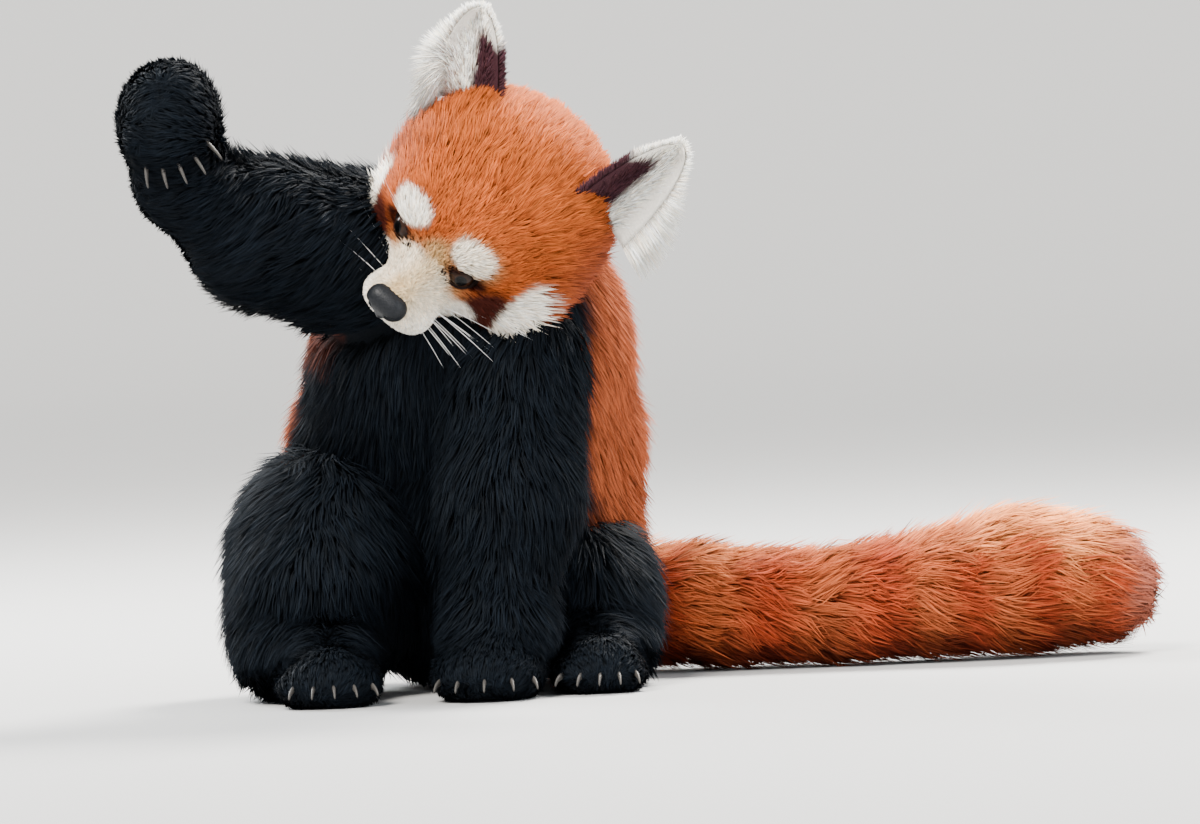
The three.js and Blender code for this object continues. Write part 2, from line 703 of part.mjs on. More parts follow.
const neckGrown = neckSolid(GAP);
const headGrown = headOutside(GAP);
const head = largest(headNode());
nodes.set("neck", { solid: largest(neckSolid(0).subtract(torsoGrown).subtract(headGrown)), colour: COAT_RED });
nodes.set("head", { solid: largest(head.subtract(torsoGrown)), colour: COAT_RED });

for (const [name, s] of [["left", 1], ["right", -1]]) {
  nodes.set("eye_" + name, { solid: eyeball(s, EYE_RADIUS), colour: 0x0c0a0a });
  nodes.set("ear_" + name, { solid: largest(earNode(name).subtract(headGrown)), colour: COAT_WHITE });
}
nodes.set("nose", { solid: largest(noseSolid().subtract(headGrown)), colour: 0x101216 });

const faceGrown = headGrown.add(noseSolid(2));

// Places the lengths of a limb, each cut clear of what it grows from, and gives the limb grown by the gap
function place(names, colour, shape, locks, others, grownLocks) {
  limb(shape, locks).forEach((solid, i) => {
    const clear = others.reduce((rest, other) => rest.subtract(other), solid);
    nodes.set(names[i], { solid: onFloor(clear), colour });
  });
  return joined(limb(shape, grownLocks, GAP));
}
const upper = [torsoGrown, neckGrown, faceGrown];
const armNames = ["upper_arm_right", "forearm_right", "forepaw_right"];
const armGrown = place(armNames, COAT_BLACK, armLimb, armCoat(0), upper, armCoat(GAP));
const forelegNames = ["upper_arm_left", "forearm_left", "forepaw_left"];
const forelegGrown = place(forelegNames, COAT_BLACK, forelegLimb, [], [...upper, armGrown], []);
const grownPaws = { forepaw_left: forelegGrown, forepaw_right: armGrown };
const hindLegs = [
  ["right", HIND_RIGHT, -1, 17],
  ["left", HIND_LEFT, 1, 19],
];
for (const [name, leg, side, seed] of hindLegs) {
  grownPaws["hindfoot_" + name] = place(
    ["thigh_" + name, "hindfoot_" + name],
    COAT_BLACK,
    hindLimb(leg),
    thighCoat(leg, side, seed, 0),
    [torsoGrown, forelegGrown, armGrown],
    thighCoat(leg, side, seed, GAP),
  );
}

let tail = tailSolid();
tail = onFloor(tail.subtract(torsoGrown).subtract(grownPaws.hindfoot_left));
const tailCut = (t) => ({ at: tailCurve.getPointAt(t), normal: tailCurve.getTangentAt(t) });
const [rootCut, tipCut] = [tailCut(0.38), tailCut(0.7)];
nodes.set("tail_base", { solid: before(tail, rootCut), colour: TAIL_RED });
nodes.set("tail_middle", { solid: before(beyond(tail, rootCut), tipCut), colour: TAIL_RED });
nodes.set("tail_tip", { solid: beyond(tail, tipCut), colour: TAIL_RED });

for (const name of Object.keys(PAWS)) {
  claws(name).forEach((solid, i) => {
    const cut = onFloor(solid.subtract(grownPaws[name]));
    nodes.set(`claw_${name}_${i + 1}`, { solid: cut, colour: 0x8c8377 });
  });
}

const animal = new THREE.Group();
for (const [name, { solid, colour }] of nodes) {
  const material = new THREE.MeshStandardMaterial({ color: colour, roughness: 0.85, metalness: 0 });
  const mesh = new THREE.Mesh(geometryOf(solid.translate([-SEAT[0], -SEAT[1], 0])), material);
  mesh.name = name;
  animal.add(mesh);
}

export default animal;
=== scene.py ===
# A life-size red panda as a still model: skin, coat, eyes, nose, claws and whiskers, on a studio floor.
# Points and lengths are in millimetres, in a frame whose origin metres() moves to the seat. Properties,
# finished meshes, lights and the camera are in metres.
import json
import math

import bpy
import numpy as np
from bpy.props import FloatProperty, FloatVectorProperty, IntProperty, PointerProperty
from bpy.types import Operator, Panel, PropertyGroup
from mathutils import Matrix, Vector
from mathutils.kdtree import KDTree

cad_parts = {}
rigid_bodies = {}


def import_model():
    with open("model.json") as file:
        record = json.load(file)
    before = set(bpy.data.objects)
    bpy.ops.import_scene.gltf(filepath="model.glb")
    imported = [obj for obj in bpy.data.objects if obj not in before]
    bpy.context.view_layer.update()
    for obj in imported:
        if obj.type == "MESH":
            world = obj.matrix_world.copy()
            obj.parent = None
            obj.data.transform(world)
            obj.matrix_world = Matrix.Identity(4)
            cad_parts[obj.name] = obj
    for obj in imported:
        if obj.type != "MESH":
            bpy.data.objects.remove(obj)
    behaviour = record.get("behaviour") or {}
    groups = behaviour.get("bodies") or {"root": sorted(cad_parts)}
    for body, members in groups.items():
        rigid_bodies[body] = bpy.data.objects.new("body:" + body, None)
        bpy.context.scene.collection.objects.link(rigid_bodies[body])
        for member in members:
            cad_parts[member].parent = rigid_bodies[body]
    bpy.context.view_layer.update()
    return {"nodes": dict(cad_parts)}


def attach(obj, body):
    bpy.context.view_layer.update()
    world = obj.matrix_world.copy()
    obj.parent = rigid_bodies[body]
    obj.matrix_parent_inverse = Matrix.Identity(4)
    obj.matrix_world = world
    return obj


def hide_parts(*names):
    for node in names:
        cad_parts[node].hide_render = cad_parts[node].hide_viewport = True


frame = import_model()

bl_info = {
    "name": "Red Panda",
    "version": (1, 0, 0),
    "blender": (4, 5, 0),
    "location": "3D View > Sidebar > Red Panda",
    "description": "Builds a life-size sitting red panda with its coat",
    "category": "Add Mesh",
}

SEAT = np.array([22.0, 50.0, 0.0])
MM = 0.001
NODES = sorted(frame["nodes"])
CLAW_NODES = [n for n in NODES if n.startswith("claw")]
FLESH_NODES = [n for n in NODES if not n.startswith(("claw", "eye", "nose"))]


def v3(*xyz):
    return np.array(xyz, float)


def unit(v):
    v = np.asarray(v, float)
    return v / np.maximum(np.linalg.norm(v, axis=-1, keepdims=True), 1e-9)


def spread(values, v):
    """A vector times each of some values."""
    return np.multiply.outer(values, v)


def metres(points):
    return (np.asarray(points, float) - SEAT) * MM


def step(a, b, x):
    t = np.clip((x - a) / (b - a), 0, 1)
    return t * t * (3 - 2 * t)


def mix(a, b, t):
    t = np.asarray(t, float)[..., None]
    return a * (1 - t) + b * t


def tone(r, g, b):
    """A colour given as 0 to 255 in sRGB, as linear light."""
    c = np.array([r, g, b]) / 255
    return np.where(c < 0.04045, c / 12.92, ((c + 0.055) / 1.055) ** 2.4)


# The head's own frame: l to the animal's left, f forward to the nose, u up out of the crown
HEAD_SCALE = 1.07
HEAD_CENTRE = v3(43, -66, 296)
HEAD_L = unit(v3(0.7076, -0.2456, -0.6626))
HEAD_U = unit(v3(0.3038, -0.7408, 0.5991))
HEAD_F = unit(-np.cross(HEAD_U, HEAD_L))
HEAD_AXES = np.array([HEAD_L, HEAD_F, HEAD_U])


def in_head(l, f, u):
    return HEAD_CENTRE + HEAD_SCALE * (l * HEAD_L + f * HEAD_F + u * HEAD_U)


def head_way(l, f, u):
    return unit(l * HEAD_L + f * HEAD_F + u * HEAD_U)


def head_coordinates(p):
    return (p - HEAD_CENTRE) @ HEAD_AXES.T / HEAD_SCALE


# Signed distances of the rounded forms under the coat
def ellipsoid(centre, radii, axes=np.eye(3)):
    centre, radii = np.asarray(centre, float), np.asarray(radii, float)

    def distance(p):
        q = (p - centre) @ axes.T / radii
        k = np.sqrt((q * q).sum(-1)) + 1e-9
        return k * (k - 1) / (np.sqrt(((q / radii) ** 2).sum(-1)) + 1e-9)

    return distance


def to_line(p, a, b):
    """How far along the line from a to b a point is, 0 to 1, and how far from it."""
    a, b = np.asarray(a, float), np.asarray(b, float)
    t = np.clip((p - a) @ (b - a) / ((b - a) @ (b - a)), 0, 1)
    return t, np.linalg.norm(p - a - t[..., None] * (b - a), axis=-1)


def taper(a, b, ra, rb):
    def distance(p):
        t, d = to_line(p, a, b)
        return d - (ra + (rb - ra) * t)

    return distance


def blend(values, fillet):
    d = values[0]
    for e in values[1:]:
        h = np.maximum(fillet - np.abs(d - e), 0) / fillet
        d = np.minimum(d, e) - h * h * fillet * 0.25
    return d


def head_ball(l, f, u, rl, rf, ru):
    return ellipsoid(in_head(l, f, u), np.array([rl, rf, ru]) * HEAD_SCALE, HEAD_AXES)


def head_pair(l, *rest):
    """The same form on both sides of the head."""
    return [head_ball(l, *rest), head_ball(-l, *rest)]


def head_cone(a, b, ra, rb):
    return taper(in_head(*a), in_head(*b), ra * HEAD_SCALE, rb * HEAD_SCALE)


TAIL_PATH = [(48, 118, 56), (104, 116, 46), (172, 96, 41), (258, 84, 39), (318, 86, 44), (364, 90, 50)]
TAIL_PATH = np.array([*TAIL_PATH, (412, 92, 46)], float)
TAIL_RADII = np.array([40, 43, 42, 40, 45, 51, 44], float)

# Each region of the body: its forms, and the fillet between them. The forms reach the tips of the coat.
REGIONS = {
    "head": (
        [
            head_ball(0, -4, 2, 72, 64, 56),
            head_ball(0, -18, 10, 66, 56, 56),
            *head_pair(42, 12, -20, 30, 32, 30),
            *head_pair(21, 37, 17, 17, 18, 15),
            head_cone((0, 40, -18), (0, 72, -21), 27, 16),
            head_cone((0, 34, -36), (0, 62, -35), 22, 11),
        ],
        15,
    ),
    "torso": (
        [
            ellipsoid((22, 50, 84), (115, 92, 90)),
            ellipsoid((22, 36, 150), (118, 88, 92)),
            ellipsoid((28, 2, 210), (106, 82, 90)),
            taper((32, 4, 244), (48, -40, 292), 84, 66),
        ],
        24,
    ),
    "arm": (
        [
            taper((-22, -22, 268), (-92, -68, 290), 62, 50),
            taper((-92, -68, 290), (-141, -100, 324), 48, 30),
            taper((-141, -100, 324), (-147, -112, 362), 29, 31),
            ellipsoid((-146, -116, 364), (32, 31, 36)),
            ellipsoid((-150, -132, 350), (27, 18, 20)),
        ],
        16,
    ),
    "foreleg": (
        [
            taper((52, -38, 212), (49, -66, 122), 56, 48),
            taper((49, -66, 122), (38, -84, 44), 47, 36),
            taper((38, -84, 44), (32, -98, 22), 34, 29),
            ellipsoid((31, -104, 15), (36, 36, 21)),
        ],
        14,
    ),
    "hind_right": (
        [
            ellipsoid((-64, 4, 82), (72, 80, 84)),
            taper((-74, -40, 70), (-72, -50, 26), 52, 30),
            ellipsoid((-88, -22, 42), (48, 60, 50)),
            taper((-72, -40, 24), (-64, -104, 16), 30, 25),
            ellipsoid((-66, -112, 13), (34, 24, 17)),
        ],
        16,
    ),
    "hind_left": (
        [
            ellipsoid((88, 18, 62), (56, 72, 60)),
            taper((98, -16, 54), (100, -24, 24), 40, 28),
            ellipsoid((100, -4, 36), (42, 52, 44)),
            taper((100, -14, 24), (102, -76, 16), 28, 23),
            ellipsoid((98, -82, 12), (31, 22, 15)),
        ],
        16,
    ),
    "tail": (
        [taper(a, b, ra, rb) for a, b, ra, rb in zip(TAIL_PATH, TAIL_PATH[1:], TAIL_RADII, TAIL_RADII[1:])],
        8,
    ),
}
NAMES = list(REGIONS)


def region_value(name, p):
    forms, fillet = REGIONS[name]
    return blend([form(p) for form in forms], fillet)


def tail_place(p):
    """How far along the tail a point is, 0 to 1, and the direction of the tail there."""
    best = np.full(p.shape[:-1], 1e9)
    place = np.zeros(p.shape[:-1])
    way = np.zeros(p.shape)
    spans = len(TAIL_PATH) - 1
    for i in range(spans):
        a, b = TAIL_PATH[i], TAIL_PATH[i + 1]
        t, d = to_line(p, a, b)
        near = d < best
        best = np.where(near, d, best)
        place = np.where(near, (i + t) / spans, place)
        way = np.where(near[..., None], unit(b - a), way)
    return place, way


# How deep the coat is over the skin
def depth(name, p):
    if name == "head":
        l, f, u = np.moveaxis(head_coordinates(p), -1, 0)
        face = 9.5 - 5.5 * step(18, 44, f) - 2.6 * step(50, 70, f)
        return face + 3.5 * step(30, 60, np.abs(l)) * (1 - step(20, 44, f))
    if name == "torso":
        return 15 + 0 * p[..., 0]
    if name == "arm":
        return 13 - 7 * step(-95, -140, p[..., 0])
    if name == "foreleg":
        return 13 - 8.5 * step(70, 20, p[..., 2])
    if name in ("hind_right", "hind_left"):
        heel, toes = (-25, -80) if name == "hind_right" else (0, -55)
        ahead = step(heel, toes, p[..., 1])
        return 14 - 9 * ahead * step(50, 30, p[..., 2])
    place, _ = tail_place(p)
    return 17 + 2 * step(0.5, 0.8, place)


# Face forms that are finer than the solids' own
FACE_FORMS = [
    *head_pair(10.5, 70, -27.5, 11.5, 12, 9.5),
    head_ball(0, 60, -37, 10, 13, 7.5),
    head_cone((0, 36, -4), (0, 74, -13), 13, 8.5),
]
HALF_MOUTH = [(9, 75, -34), (19, 61, -36.5), (27, 44, -37)]
MOUTH = [(-l, f, u) for l, f, u in HALF_MOUTH[::-1]] + [(0, 79, -31)] + HALF_MOUTH
MOUTH_LINE = [head_cone(a, b, 1.5, 1.5) for a, b in zip(MOUTH, MOUTH[1:])]

EYE_RADIUS = 9.4


def eye_frame(s):
    """Centre and axes (across, look, up) of an eye. s is 1 for the left eye and -1 for the right one."""
    centre = in_head(s * 20.5, 49.5, 6)
    look = head_way(s * 0.46, 0.86, 0.2)
    across = unit(np.cross(look, head_way(s * -0.25, 0, 1)))
    return centre, np.array([across, look, np.cross(across, look)])


# The lids lie just off the eyeball. Their opening has these halves, across and up
LID_RADIUS = EYE_RADIUS + 0.35
LID_HALF = (9.4, 5.6)


def eye_opening(s, across, look, up):
    """An oval over the eye, against the size of the lids across and up."""
    centre, axes = eye_frame(s)
    return ellipsoid(centre + axes[1] * EYE_RADIUS, (LID_HALF[0] * across, look, LID_HALF[1] * up), axes)


def under_coat(name, p):
    """Height over the skin of a region, with the finer face forms on the head."""
    base = region_value(name, p) + depth(name, p)
    return blend([base] + [form(p) for form in FACE_FORMS], 7) if name == "head" else base


def head_skin(p):
    value = under_coat("head", p)
    groove = np.min([line(p) for line in MOUTH_LINE], axis=0)
    value = np.maximum(value, -groove)
    for s in (1, -1):
        value = np.maximum(value, -eye_opening(s, 1.25, 12, 1.5)(p))
    return value


def body_skin(p):
    return blend([region_value(n, p) + depth(n, p) for n in NAMES[1:]], 9)


def net(field, low, high, pitch):
    """A closed quad mesh on the zero level of a field."""
    axes = [np.arange(a, b + pitch, pitch) for a, b in zip(low, high)]
    shape = [len(a) for a in axes]
    values = np.empty(shape, np.float32)
    yy, zz = np.meshgrid(axes[1], axes[2], indexing="ij")
    for i, x in enumerate(axes[0]):
        values[i] = field(np.stack([np.full_like(yy, x), yy, zz], -1))
    inside = values < 0
    corner = [(i, j, k) for i in (0, 1) for j in (0, 1) for k in (0, 1)]
    nx, ny, nz = (n - 1 for n in shape)
    count = sum(inside[i : nx + i, j : ny + j, k : nz + k].astype(np.int8) for i, j, k in corner)
    active = (count > 0) & (count < 8)
    cells = np.argwhere(active)
    index = np.full(active.shape, -1, np.int64)
    index[active] = np.arange(len(cells))
    total, hits = np.zeros((len(cells), 3)), np.zeros(len(cells))
    for axis in range(3):
        for a in (0, 1):
            for b in (0, 1):
                start = np.insert([a, b], axis, 0)
                end = np.insert([a, b], axis, 1)
                v0 = values[tuple((cells + start).T)]
                v1 = values[tuple((cells + end).T)]
                cross = (v0 < 0) != (v1 < 0)
                t = np.where(cross, v0 / np.where(cross, v0 - v1, 1), 0)
                total += cross[:, None] * (start + t[:, None] * (end - start))
                hits += cross
    points = np.array([a[0] for a in axes]) + pitch * (cells + total / hits[:, None])
    quads = []
    for axis in range(3):
        swap = np.moveaxis(inside, axis, 0)
        ids = np.moveaxis(index, axis, 0)
        edge = np.argwhere(swap[:-1, 1:-1, 1:-1] != swap[1:, 1:-1, 1:-1])
        i, j, k = edge[:, 0], edge[:, 1] + 1, edge[:, 2] + 1
        quad = np.stack([ids[i, j - 1, k - 1], ids[i, j, k - 1], ids[i, j, k], ids[i, j - 1, k]], -1)
        flip = swap[i, j, k] != (axis == 1)
        quad[~flip] = quad[~flip][:, ::-1]
        quads.append(quad)
    return points, np.concatenate(quads)


def slope(field, p, h=0.6):
    parts = [field(p + h * e) - field(p - h * e) for e in np.eye(3)]
    return unit(np.stack(parts, -1))


def settle(field, p, rounds=2):
    """Moves points onto the zero level of a field."""
    for _ in range(rounds):
        p = p - slope(field, p) * np.clip(field(p), -3, 3)[:, None]
    return p


# Markings, with some painted light and shade in them. Each gives the colour of the coat at its root and at
# its tip
RUST_DEEP = tone(82, 27, 9)
RUST = tone(164, 70, 24)
RUST_PALE = tone(208, 118, 54)
BACK_DEEP = tone(74, 26, 17)
BACK = tone(158, 76, 50)
BLACK_DEEP = tone(2, 3, 4)
# BLACK's tips are near black with a blue cast: the fur's own black, with a painted bluish sheen.
BLACK = tone(13, 19, 26)
CREAM_DEEP = tone(214, 196, 168)
CREAM = tone(255, 249, 238)
TEAR = tone(66, 27, 20)
TAIL_DEEP = tone(70, 22, 12)
TAIL = tone(148, 56, 28)
# TAIL_PALE is the pale of the tail's rings, and also the painted highlight on the top of the tail
TAIL_PALE = tone(250, 160, 94)
# TAIL_END is greyish pink: the tail end's own colour with a painted sheen on it
TAIL_END = tone(150, 84, 66)
OLIVE = tone(188, 158, 108)
LID_COLOUR = tone(24, 16, 14)
EAR_PATCH = tone(62, 36, 42)


def oval(c, centre, radii, soft=0.3):
    """1 inside an oval in the head's coordinates, fading to 0 at its edge."""
    d = np.sqrt((((c - np.array(centre)) / np.array(radii)) ** 2).sum(-1))
    return 1 - step(1 - soft, 1 + soft, d)


def along_line(c, a, b, radius, soft):
    return 1 - step(radius - soft, radius + soft, to_line(c, a, b)[1])


def flat(colour, p):
    return np.broadcast_to(colour, p.shape)


def over(pair, mask, deep, pale):
    """Lays colours of root and tip over a pair of them, where a mask is 1."""
    return mix(pair[0], deep, mask), mix(pair[1], pale, mask)


def head_markings_and_light(p):
    c = head_coordinates(p)
    side = c.copy()
    side[..., 0] = np.abs(side[..., 0])
    l, f, u = np.moveaxis(side, -1, 0)
    # The tips are paler all over, and paler still on the top of the head: a painted highlight where the
    # light from above falls.
    pair = flat(RUST_DEEP, p), mix(flat(RUST, p), RUST_PALE, 0.22 + 0.1 * step(10, 60, u))
    behind = step(42, 66, l) * step(34, 12, f) * step(66, 40, u)
    dusk = np.maximum(behind, step(-26, -44, u) * step(60, 30, f))
    pair = over(pair, dusk, BACK_DEEP, BACK * 0.62)
    tear = oval(side, (38, 46, -17), (16, 22, 22), 0.25)
    pair = over(pair, tear, TEAR * 0.5, TEAR)
    across = (l - 56) * 0.68 - (f - 37) * 0.73
    cheek = step(0, 8, f) * (1 - step(0.8, 1.15, np.sqrt((across / 12.5) ** 2 + ((u + 16) / 24) ** 2)))
    white = np.maximum.reduce(
        [
            cheek,
            oval(side, (21.5, 54, 20.5), (12, 18, 8), 0.25),
            oval(side, (8, 72, -22), (20, 30, 19), 0.2),
            oval(side, (21, 54, -24), (13, 18, 13), 0.25),
            oval(side, (5, 64, -4), (12, 14, 10), 0.3),
            oval(side, (0, 56, -44), (20, 24, 12), 0.3),
        ]
    )
    pair = over(pair, white, CREAM_DEEP, CREAM)
    tan = 0.5 * along_line(side, (6, 84, -10), (10, 62, -6), 14, 9)
    tan = np.maximum(tan, 0.3 * oval(c, (22, 54, 18), (16, 20, 12)))
    pair = over(pair, tan, OLIVE * 0.7, OLIVE)
    bridge = along_line(c, (3, 82, -6), (4, 58, 10), 8, 5)
    pair = over(pair, 0.7 * bridge, OLIVE * 0.6, OLIVE)
    eyelid = oval(side, (24, 58, 7), (12.5, 14, 6.5), 0.25)
    return over(pair, eyelid, TEAR * 0.25, TEAR * 0.4)


def body_markings_and_light(name, p):
    x, y, z = np.moveaxis(p, -1, 0)
    if name == "torso":
        wobble = 5 * np.sin(0.05 * z + 0.04 * x) + 4 * np.sin(0.11 * z - 0.03 * x)
        front = step(-12, -30, y + wobble + 0.10 * (z - 200) * (z > 200) + 26 * step(60, 100, x))
        chest = step(-80, -68, x + wobble) * step(94, 82, x + wobble) * step(250, 215, z)
        front = np.maximum(front, chest * step(24, 6, y) + step(110, 70, z) * step(90, 70, y) * chest)
        front = np.clip(front + step(34, 16, z), 0, 1)
        return over((flat(BACK_DEEP, p), mix(flat(BACK, p), RUST_PALE, 0.18)), front, BLACK_DEEP, BLACK)
    if name == "tail":
        place, _ = tail_place(p)
        ring = 0.5 + 0.5 * np.sin(2 * np.pi * (7.2 * place + 0.1))
        # Painted light: the tail pales towards TAIL_PALE on its top, a painted highlight of the light from
        # behind and above, and darkens towards BACK_DEEP on its underside, a painted shade.
        under = step(46, 18, z)
        top = step(56, 84, z)
        tip = mix(flat(TAIL, p), TAIL_PALE, np.clip(0.16 * ring + 0.75 * top, 0, 1))
        pair = mix(flat(TAIL_DEEP, p), TAIL, 0.5 * top), tip
        # The last of the tail takes TAIL_END: its own colour with a painted sheen.
        root, tip = over(pair, step(0.93, 1.0, place), TAIL_END * 0.5, TAIL_END)
        return mix(root, BACK_DEEP * 0.5, under), mix(tip, BACK_DEEP, 0.85 * under)
    pair = flat(BLACK_DEEP, p), flat(BLACK, p)
    if name.startswith("hind"):
        pair = over(pair, step(95, 120, z) * step(10, 40, y), BACK_DEEP, BACK)
    return pair


def markings_and_light(region, p):
    return head_markings_and_light(p) if region == "head" else body_markings_and_light(region, p)


def ripples(p, size):
    """Smooth seeded noise about zero, three numbers a point, that changes over about the given size."""
    draw = np.random.default_rng(int(size))
    total = np.zeros(p.shape)
    for _ in range(9):
        wave = unit(draw.normal(size=3)) * 2 * np.pi / (size * draw.uniform(0.7, 1.5))
        total += np.sin((p @ wave)[..., None] + draw.uniform(0, 2 * np.pi, 3)) * draw.uniform(0.4, 1, 3)
    return total / 3


def lie(name, p, out):
    """The way that the coat lies, along the skin."""
    if name == "head":
        way = unit(p - in_head(0, 74, -14)) + 0.15 * head_way(0, -0.4, -1)
        way = way + cheek_tuft(p)[..., None] * v3(0, 0, -0.9)
    elif name == "torso":
        way = v3(0, 0.3, -1) + 0.35 * unit(p - v3(30, 0, 260)) * [1, 1, 0]
    elif name == "arm":
        way = unit(v3(-125, -90, 94)) + v3(0.1, 0, -0.9)
        way = mix(way, v3(-0.1, -0.75, 0.35), step(330, 372, p[..., 2]))
    elif name == "foreleg":
        way = mix(v3(0, 0.02, -1), v3(0, -1, -0.35), step(46, 22, p[..., 2]))
    elif name == "tail":
        way = tail_place(p)[1] + v3(0, 0, -0.22)
    else:
        way = mix(v3(0, 0.12, -1), v3(0, -1, -0.25), step(44, 22, p[..., 2]))
    fine = {"head": (17, 0.28), "tail": (34, 0.34)}.get(name, (28, 0.22))
    way = unit(way) + 0.15 * ripples(p, 70) + fine[1] * ripples(p, fine[0])
    return unit(way - (way * out).sum(-1, keepdims=True) * out)


def new_mesh(name, points, faces):
    """A smooth mesh object from points in metres."""
    mesh = bpy.data.meshes.new(name)
    faces = faces.tolist() if isinstance(faces, np.ndarray) else faces
    mesh.from_pydata(np.asarray(points).tolist(), [], faces)
    mesh.polygons.foreach_set("use_smooth", np.ones(len(mesh.polygons), bool))
    mesh.update()
    obj = bpy.data.objects.new(name, mesh)
    bpy.context.scene.collection.objects.link(obj)
    return obj


def paint(obj, name, colours):
    layer = obj.data.color_attributes.new(name, "FLOAT_COLOR", "POINT")
    rgba = np.ones((len(obj.data.vertices), 4), np.float32)
    rgba[:, :3] = colours
    layer.data.foreach_set("color", rgba.ravel())


def attribute(obj, name, values):
    values = np.asarray(values, np.float32)
    kind = "FLOAT_VECTOR" if values.ndim == 2 else "FLOAT"
    layer = obj.data.attributes.new(name, kind, "POINT")
    layer.data.foreach_set("vector" if values.ndim == 2 else "value", values.ravel())


def set_growth(obj, lies, outs, rises, sizes):
    """The attributes that the growing tree reads: lie, out, rise and size."""
    for label, values in (("lie", lies), ("out", outs), ("rise", rises), ("size", sizes)):
        attribute(obj, label, values)


def tube_faces(rows, around):
    """Faces of a tube of closed rings, each of the given number of points."""
    faces = []
    for i in range(0, (rows - 1) * around, around):
        for j in range(around):
            k = (j + 1) % around
            faces.append((i + j, i + k, i + around + k, i + around + j))
    return faces


# Ears: the same leaf-shaped cups as in the solids. s is 1 on the left and -1 on the right
EARS = {
    "left": {
        "s": 1,
        "length": 72,
        "root": (56, -28, 42),
        "up": (0.2, -0.42, 0.88),
        "face": (0.5, 0.85, 0.2),
    },
    "right": {
        "s": -1,
        "length": 58,
        "root": (-54, -28, 44),
        "up": (-0.34, -0.3, 0.86),
        "face": (0.1, 0.95, 0.3),
    },
}
EAR_HALF_WIDTH = 25


def ear_frame(ear):
    up = head_way(*ear["up"])
    side = unit(np.cross(up, head_way(*ear["face"])))
    return in_head(*ear["root"]), up, side, np.cross(side, up)


def ear_point(ear, v, w, back):
    """A point of an ear: v from base to tip, w from -1 to 1 across, on the hollow side or the back."""
    root, up, side, front = ear_frame(ear)
    half = EAR_HALF_WIDTH * np.sqrt(np.maximum(1 - v**2.2, 0)) * (1 - 0.12 * v) * 0.9
    hollow = 13 * (1 - w * w) * (1 - 0.55 * v)
    thick = back * (4.2 * (1 - w * w) * (1 - 0.5 * v) + 0.6)
    place = root + spread(-14 + v * (ear["length"] + 8), up) + spread(w * half, side)
    return place + spread(6.5 - hollow - thick, front)


def ear_mesh(ear, rows=22, columns=18):
    v = np.repeat(np.linspace(0, 0.985, rows), 2 * columns + 2)
    w = np.tile(np.concatenate([np.linspace(-1, 1, columns + 1), np.linspace(1, -1, columns + 1)]), rows)
    back = np.tile(np.repeat([0.0, 1.0], columns + 1), rows)
    around = 2 * columns + 2
    caps = [tuple(range(around))[::-1], tuple((rows - 1) * around + j for j in range(around))]
    return ear_point(ear, v, w, back), tube_faces(rows, around), caps, v, w, back


def lid_mesh(s, around=48, rows=7):
    """A ring of lid from the eyeball out onto the skin."""
    centre, axes = eye_frame(s)
    across, look, up = axes
    points = []
    for i in range(rows):
        share = i / (rows - 1)
        for j in range(around):
            a = 2 * np.pi * j / around
            x = LID_HALF[0] * np.cos(a) * (1 + 0.75 * share)
            y = LID_HALF[1] * np.sin(a) * (1 + 1.25 * share) * (1 - 0.18 * np.cos(a) ** 2)
            reach = np.sqrt(max(LID_RADIUS**2 - min(x * x + y * y, (EYE_RADIUS * 0.96) ** 2), 1))
            on_ball = centre + across * x + up * y + look * reach
            points.append(on_ball + look * 1.5 * np.sin(np.pi * min(share * 1.4, 1)) * (share < 0.72))
    points = np.array(points)
    outer = points[-2 * around :]
    points[-2 * around :] = settle(head_surface, outer, 4) - 0.5 * slope(head_surface, outer)
    rings = points.reshape(rows, around, 3)
    rings[-3] = (rings[-4] + rings[-2]) / 2
    return rings.reshape(-1, 3), tube_faces(rows, around)


def head_surface(p):
    return under_coat("head", p)


def join_parts(parts):
    """Points and faces of several meshes as one."""
    points, faces, shift = [], [], 0
    for p, f in parts:
        points.append(p)
        faces.extend(tuple(int(i) + shift for i in face) for face in f)
        shift += len(p)
    return np.concatenate(points), faces


# Nodes and materials
def wire(tree, node, inputs):
    """Links or sets inputs of a node, and returns its outputs."""
    for label, value in inputs.items():
        if isinstance(value, bpy.types.NodeSocket):
            tree.links.new(value, node.inputs[label])
        else:
            node.inputs[label].default_value = value
    return node.outputs


def add(tree, kind, inputs, **settings):
    """Adds a node to a tree, and returns its outputs."""
    node = tree.nodes.new(kind)
    for label, value in settings.items():
        setattr(node, label, value)
    return wire(tree, node, inputs)


def new_material(name, **sockets):
    """A material with the given shader sockets set, its tree and its shader."""
    material = bpy.data.materials.new(name)
    material.use_nodes = True
    shader = material.node_tree.nodes["Principled BSDF"]
    wire(material.node_tree, shader, {label.replace("_", " "): value for label, value in sockets.items()})
    return material, material.node_tree, shader


def grade(tree, shader, factor, stops):
    """Colours a shader by a value, through stops of position and colour."""
    ramp = add(tree, "ShaderNodeValToRGB", {"Fac": factor})[0]
    elements = ramp.node.color_ramp.elements
    for element, (position, colour) in zip(elements, (stops[0], stops[-1])):
        element.position, element.color = position, (*colour, 1)
    for position, colour in stops[1:-1]:
        elements.new(position).color = (*colour, 1)
    wire(tree, shader, {"Base Color": ramp})


def grain(tree, fine=900.0, broad=60.0, low=0.8, high=1.2):
    """Outputs of the shared grain of skin, coat and horn: brightness and height."""
    group = bpy.data.node_groups.get("Animal grain") or grain_group()
    values = {"Fine scale": fine, "Broad scale": broad, "Low": low, "High": high}
    return add(tree, "ShaderNodeGroup", values, node_tree=group)


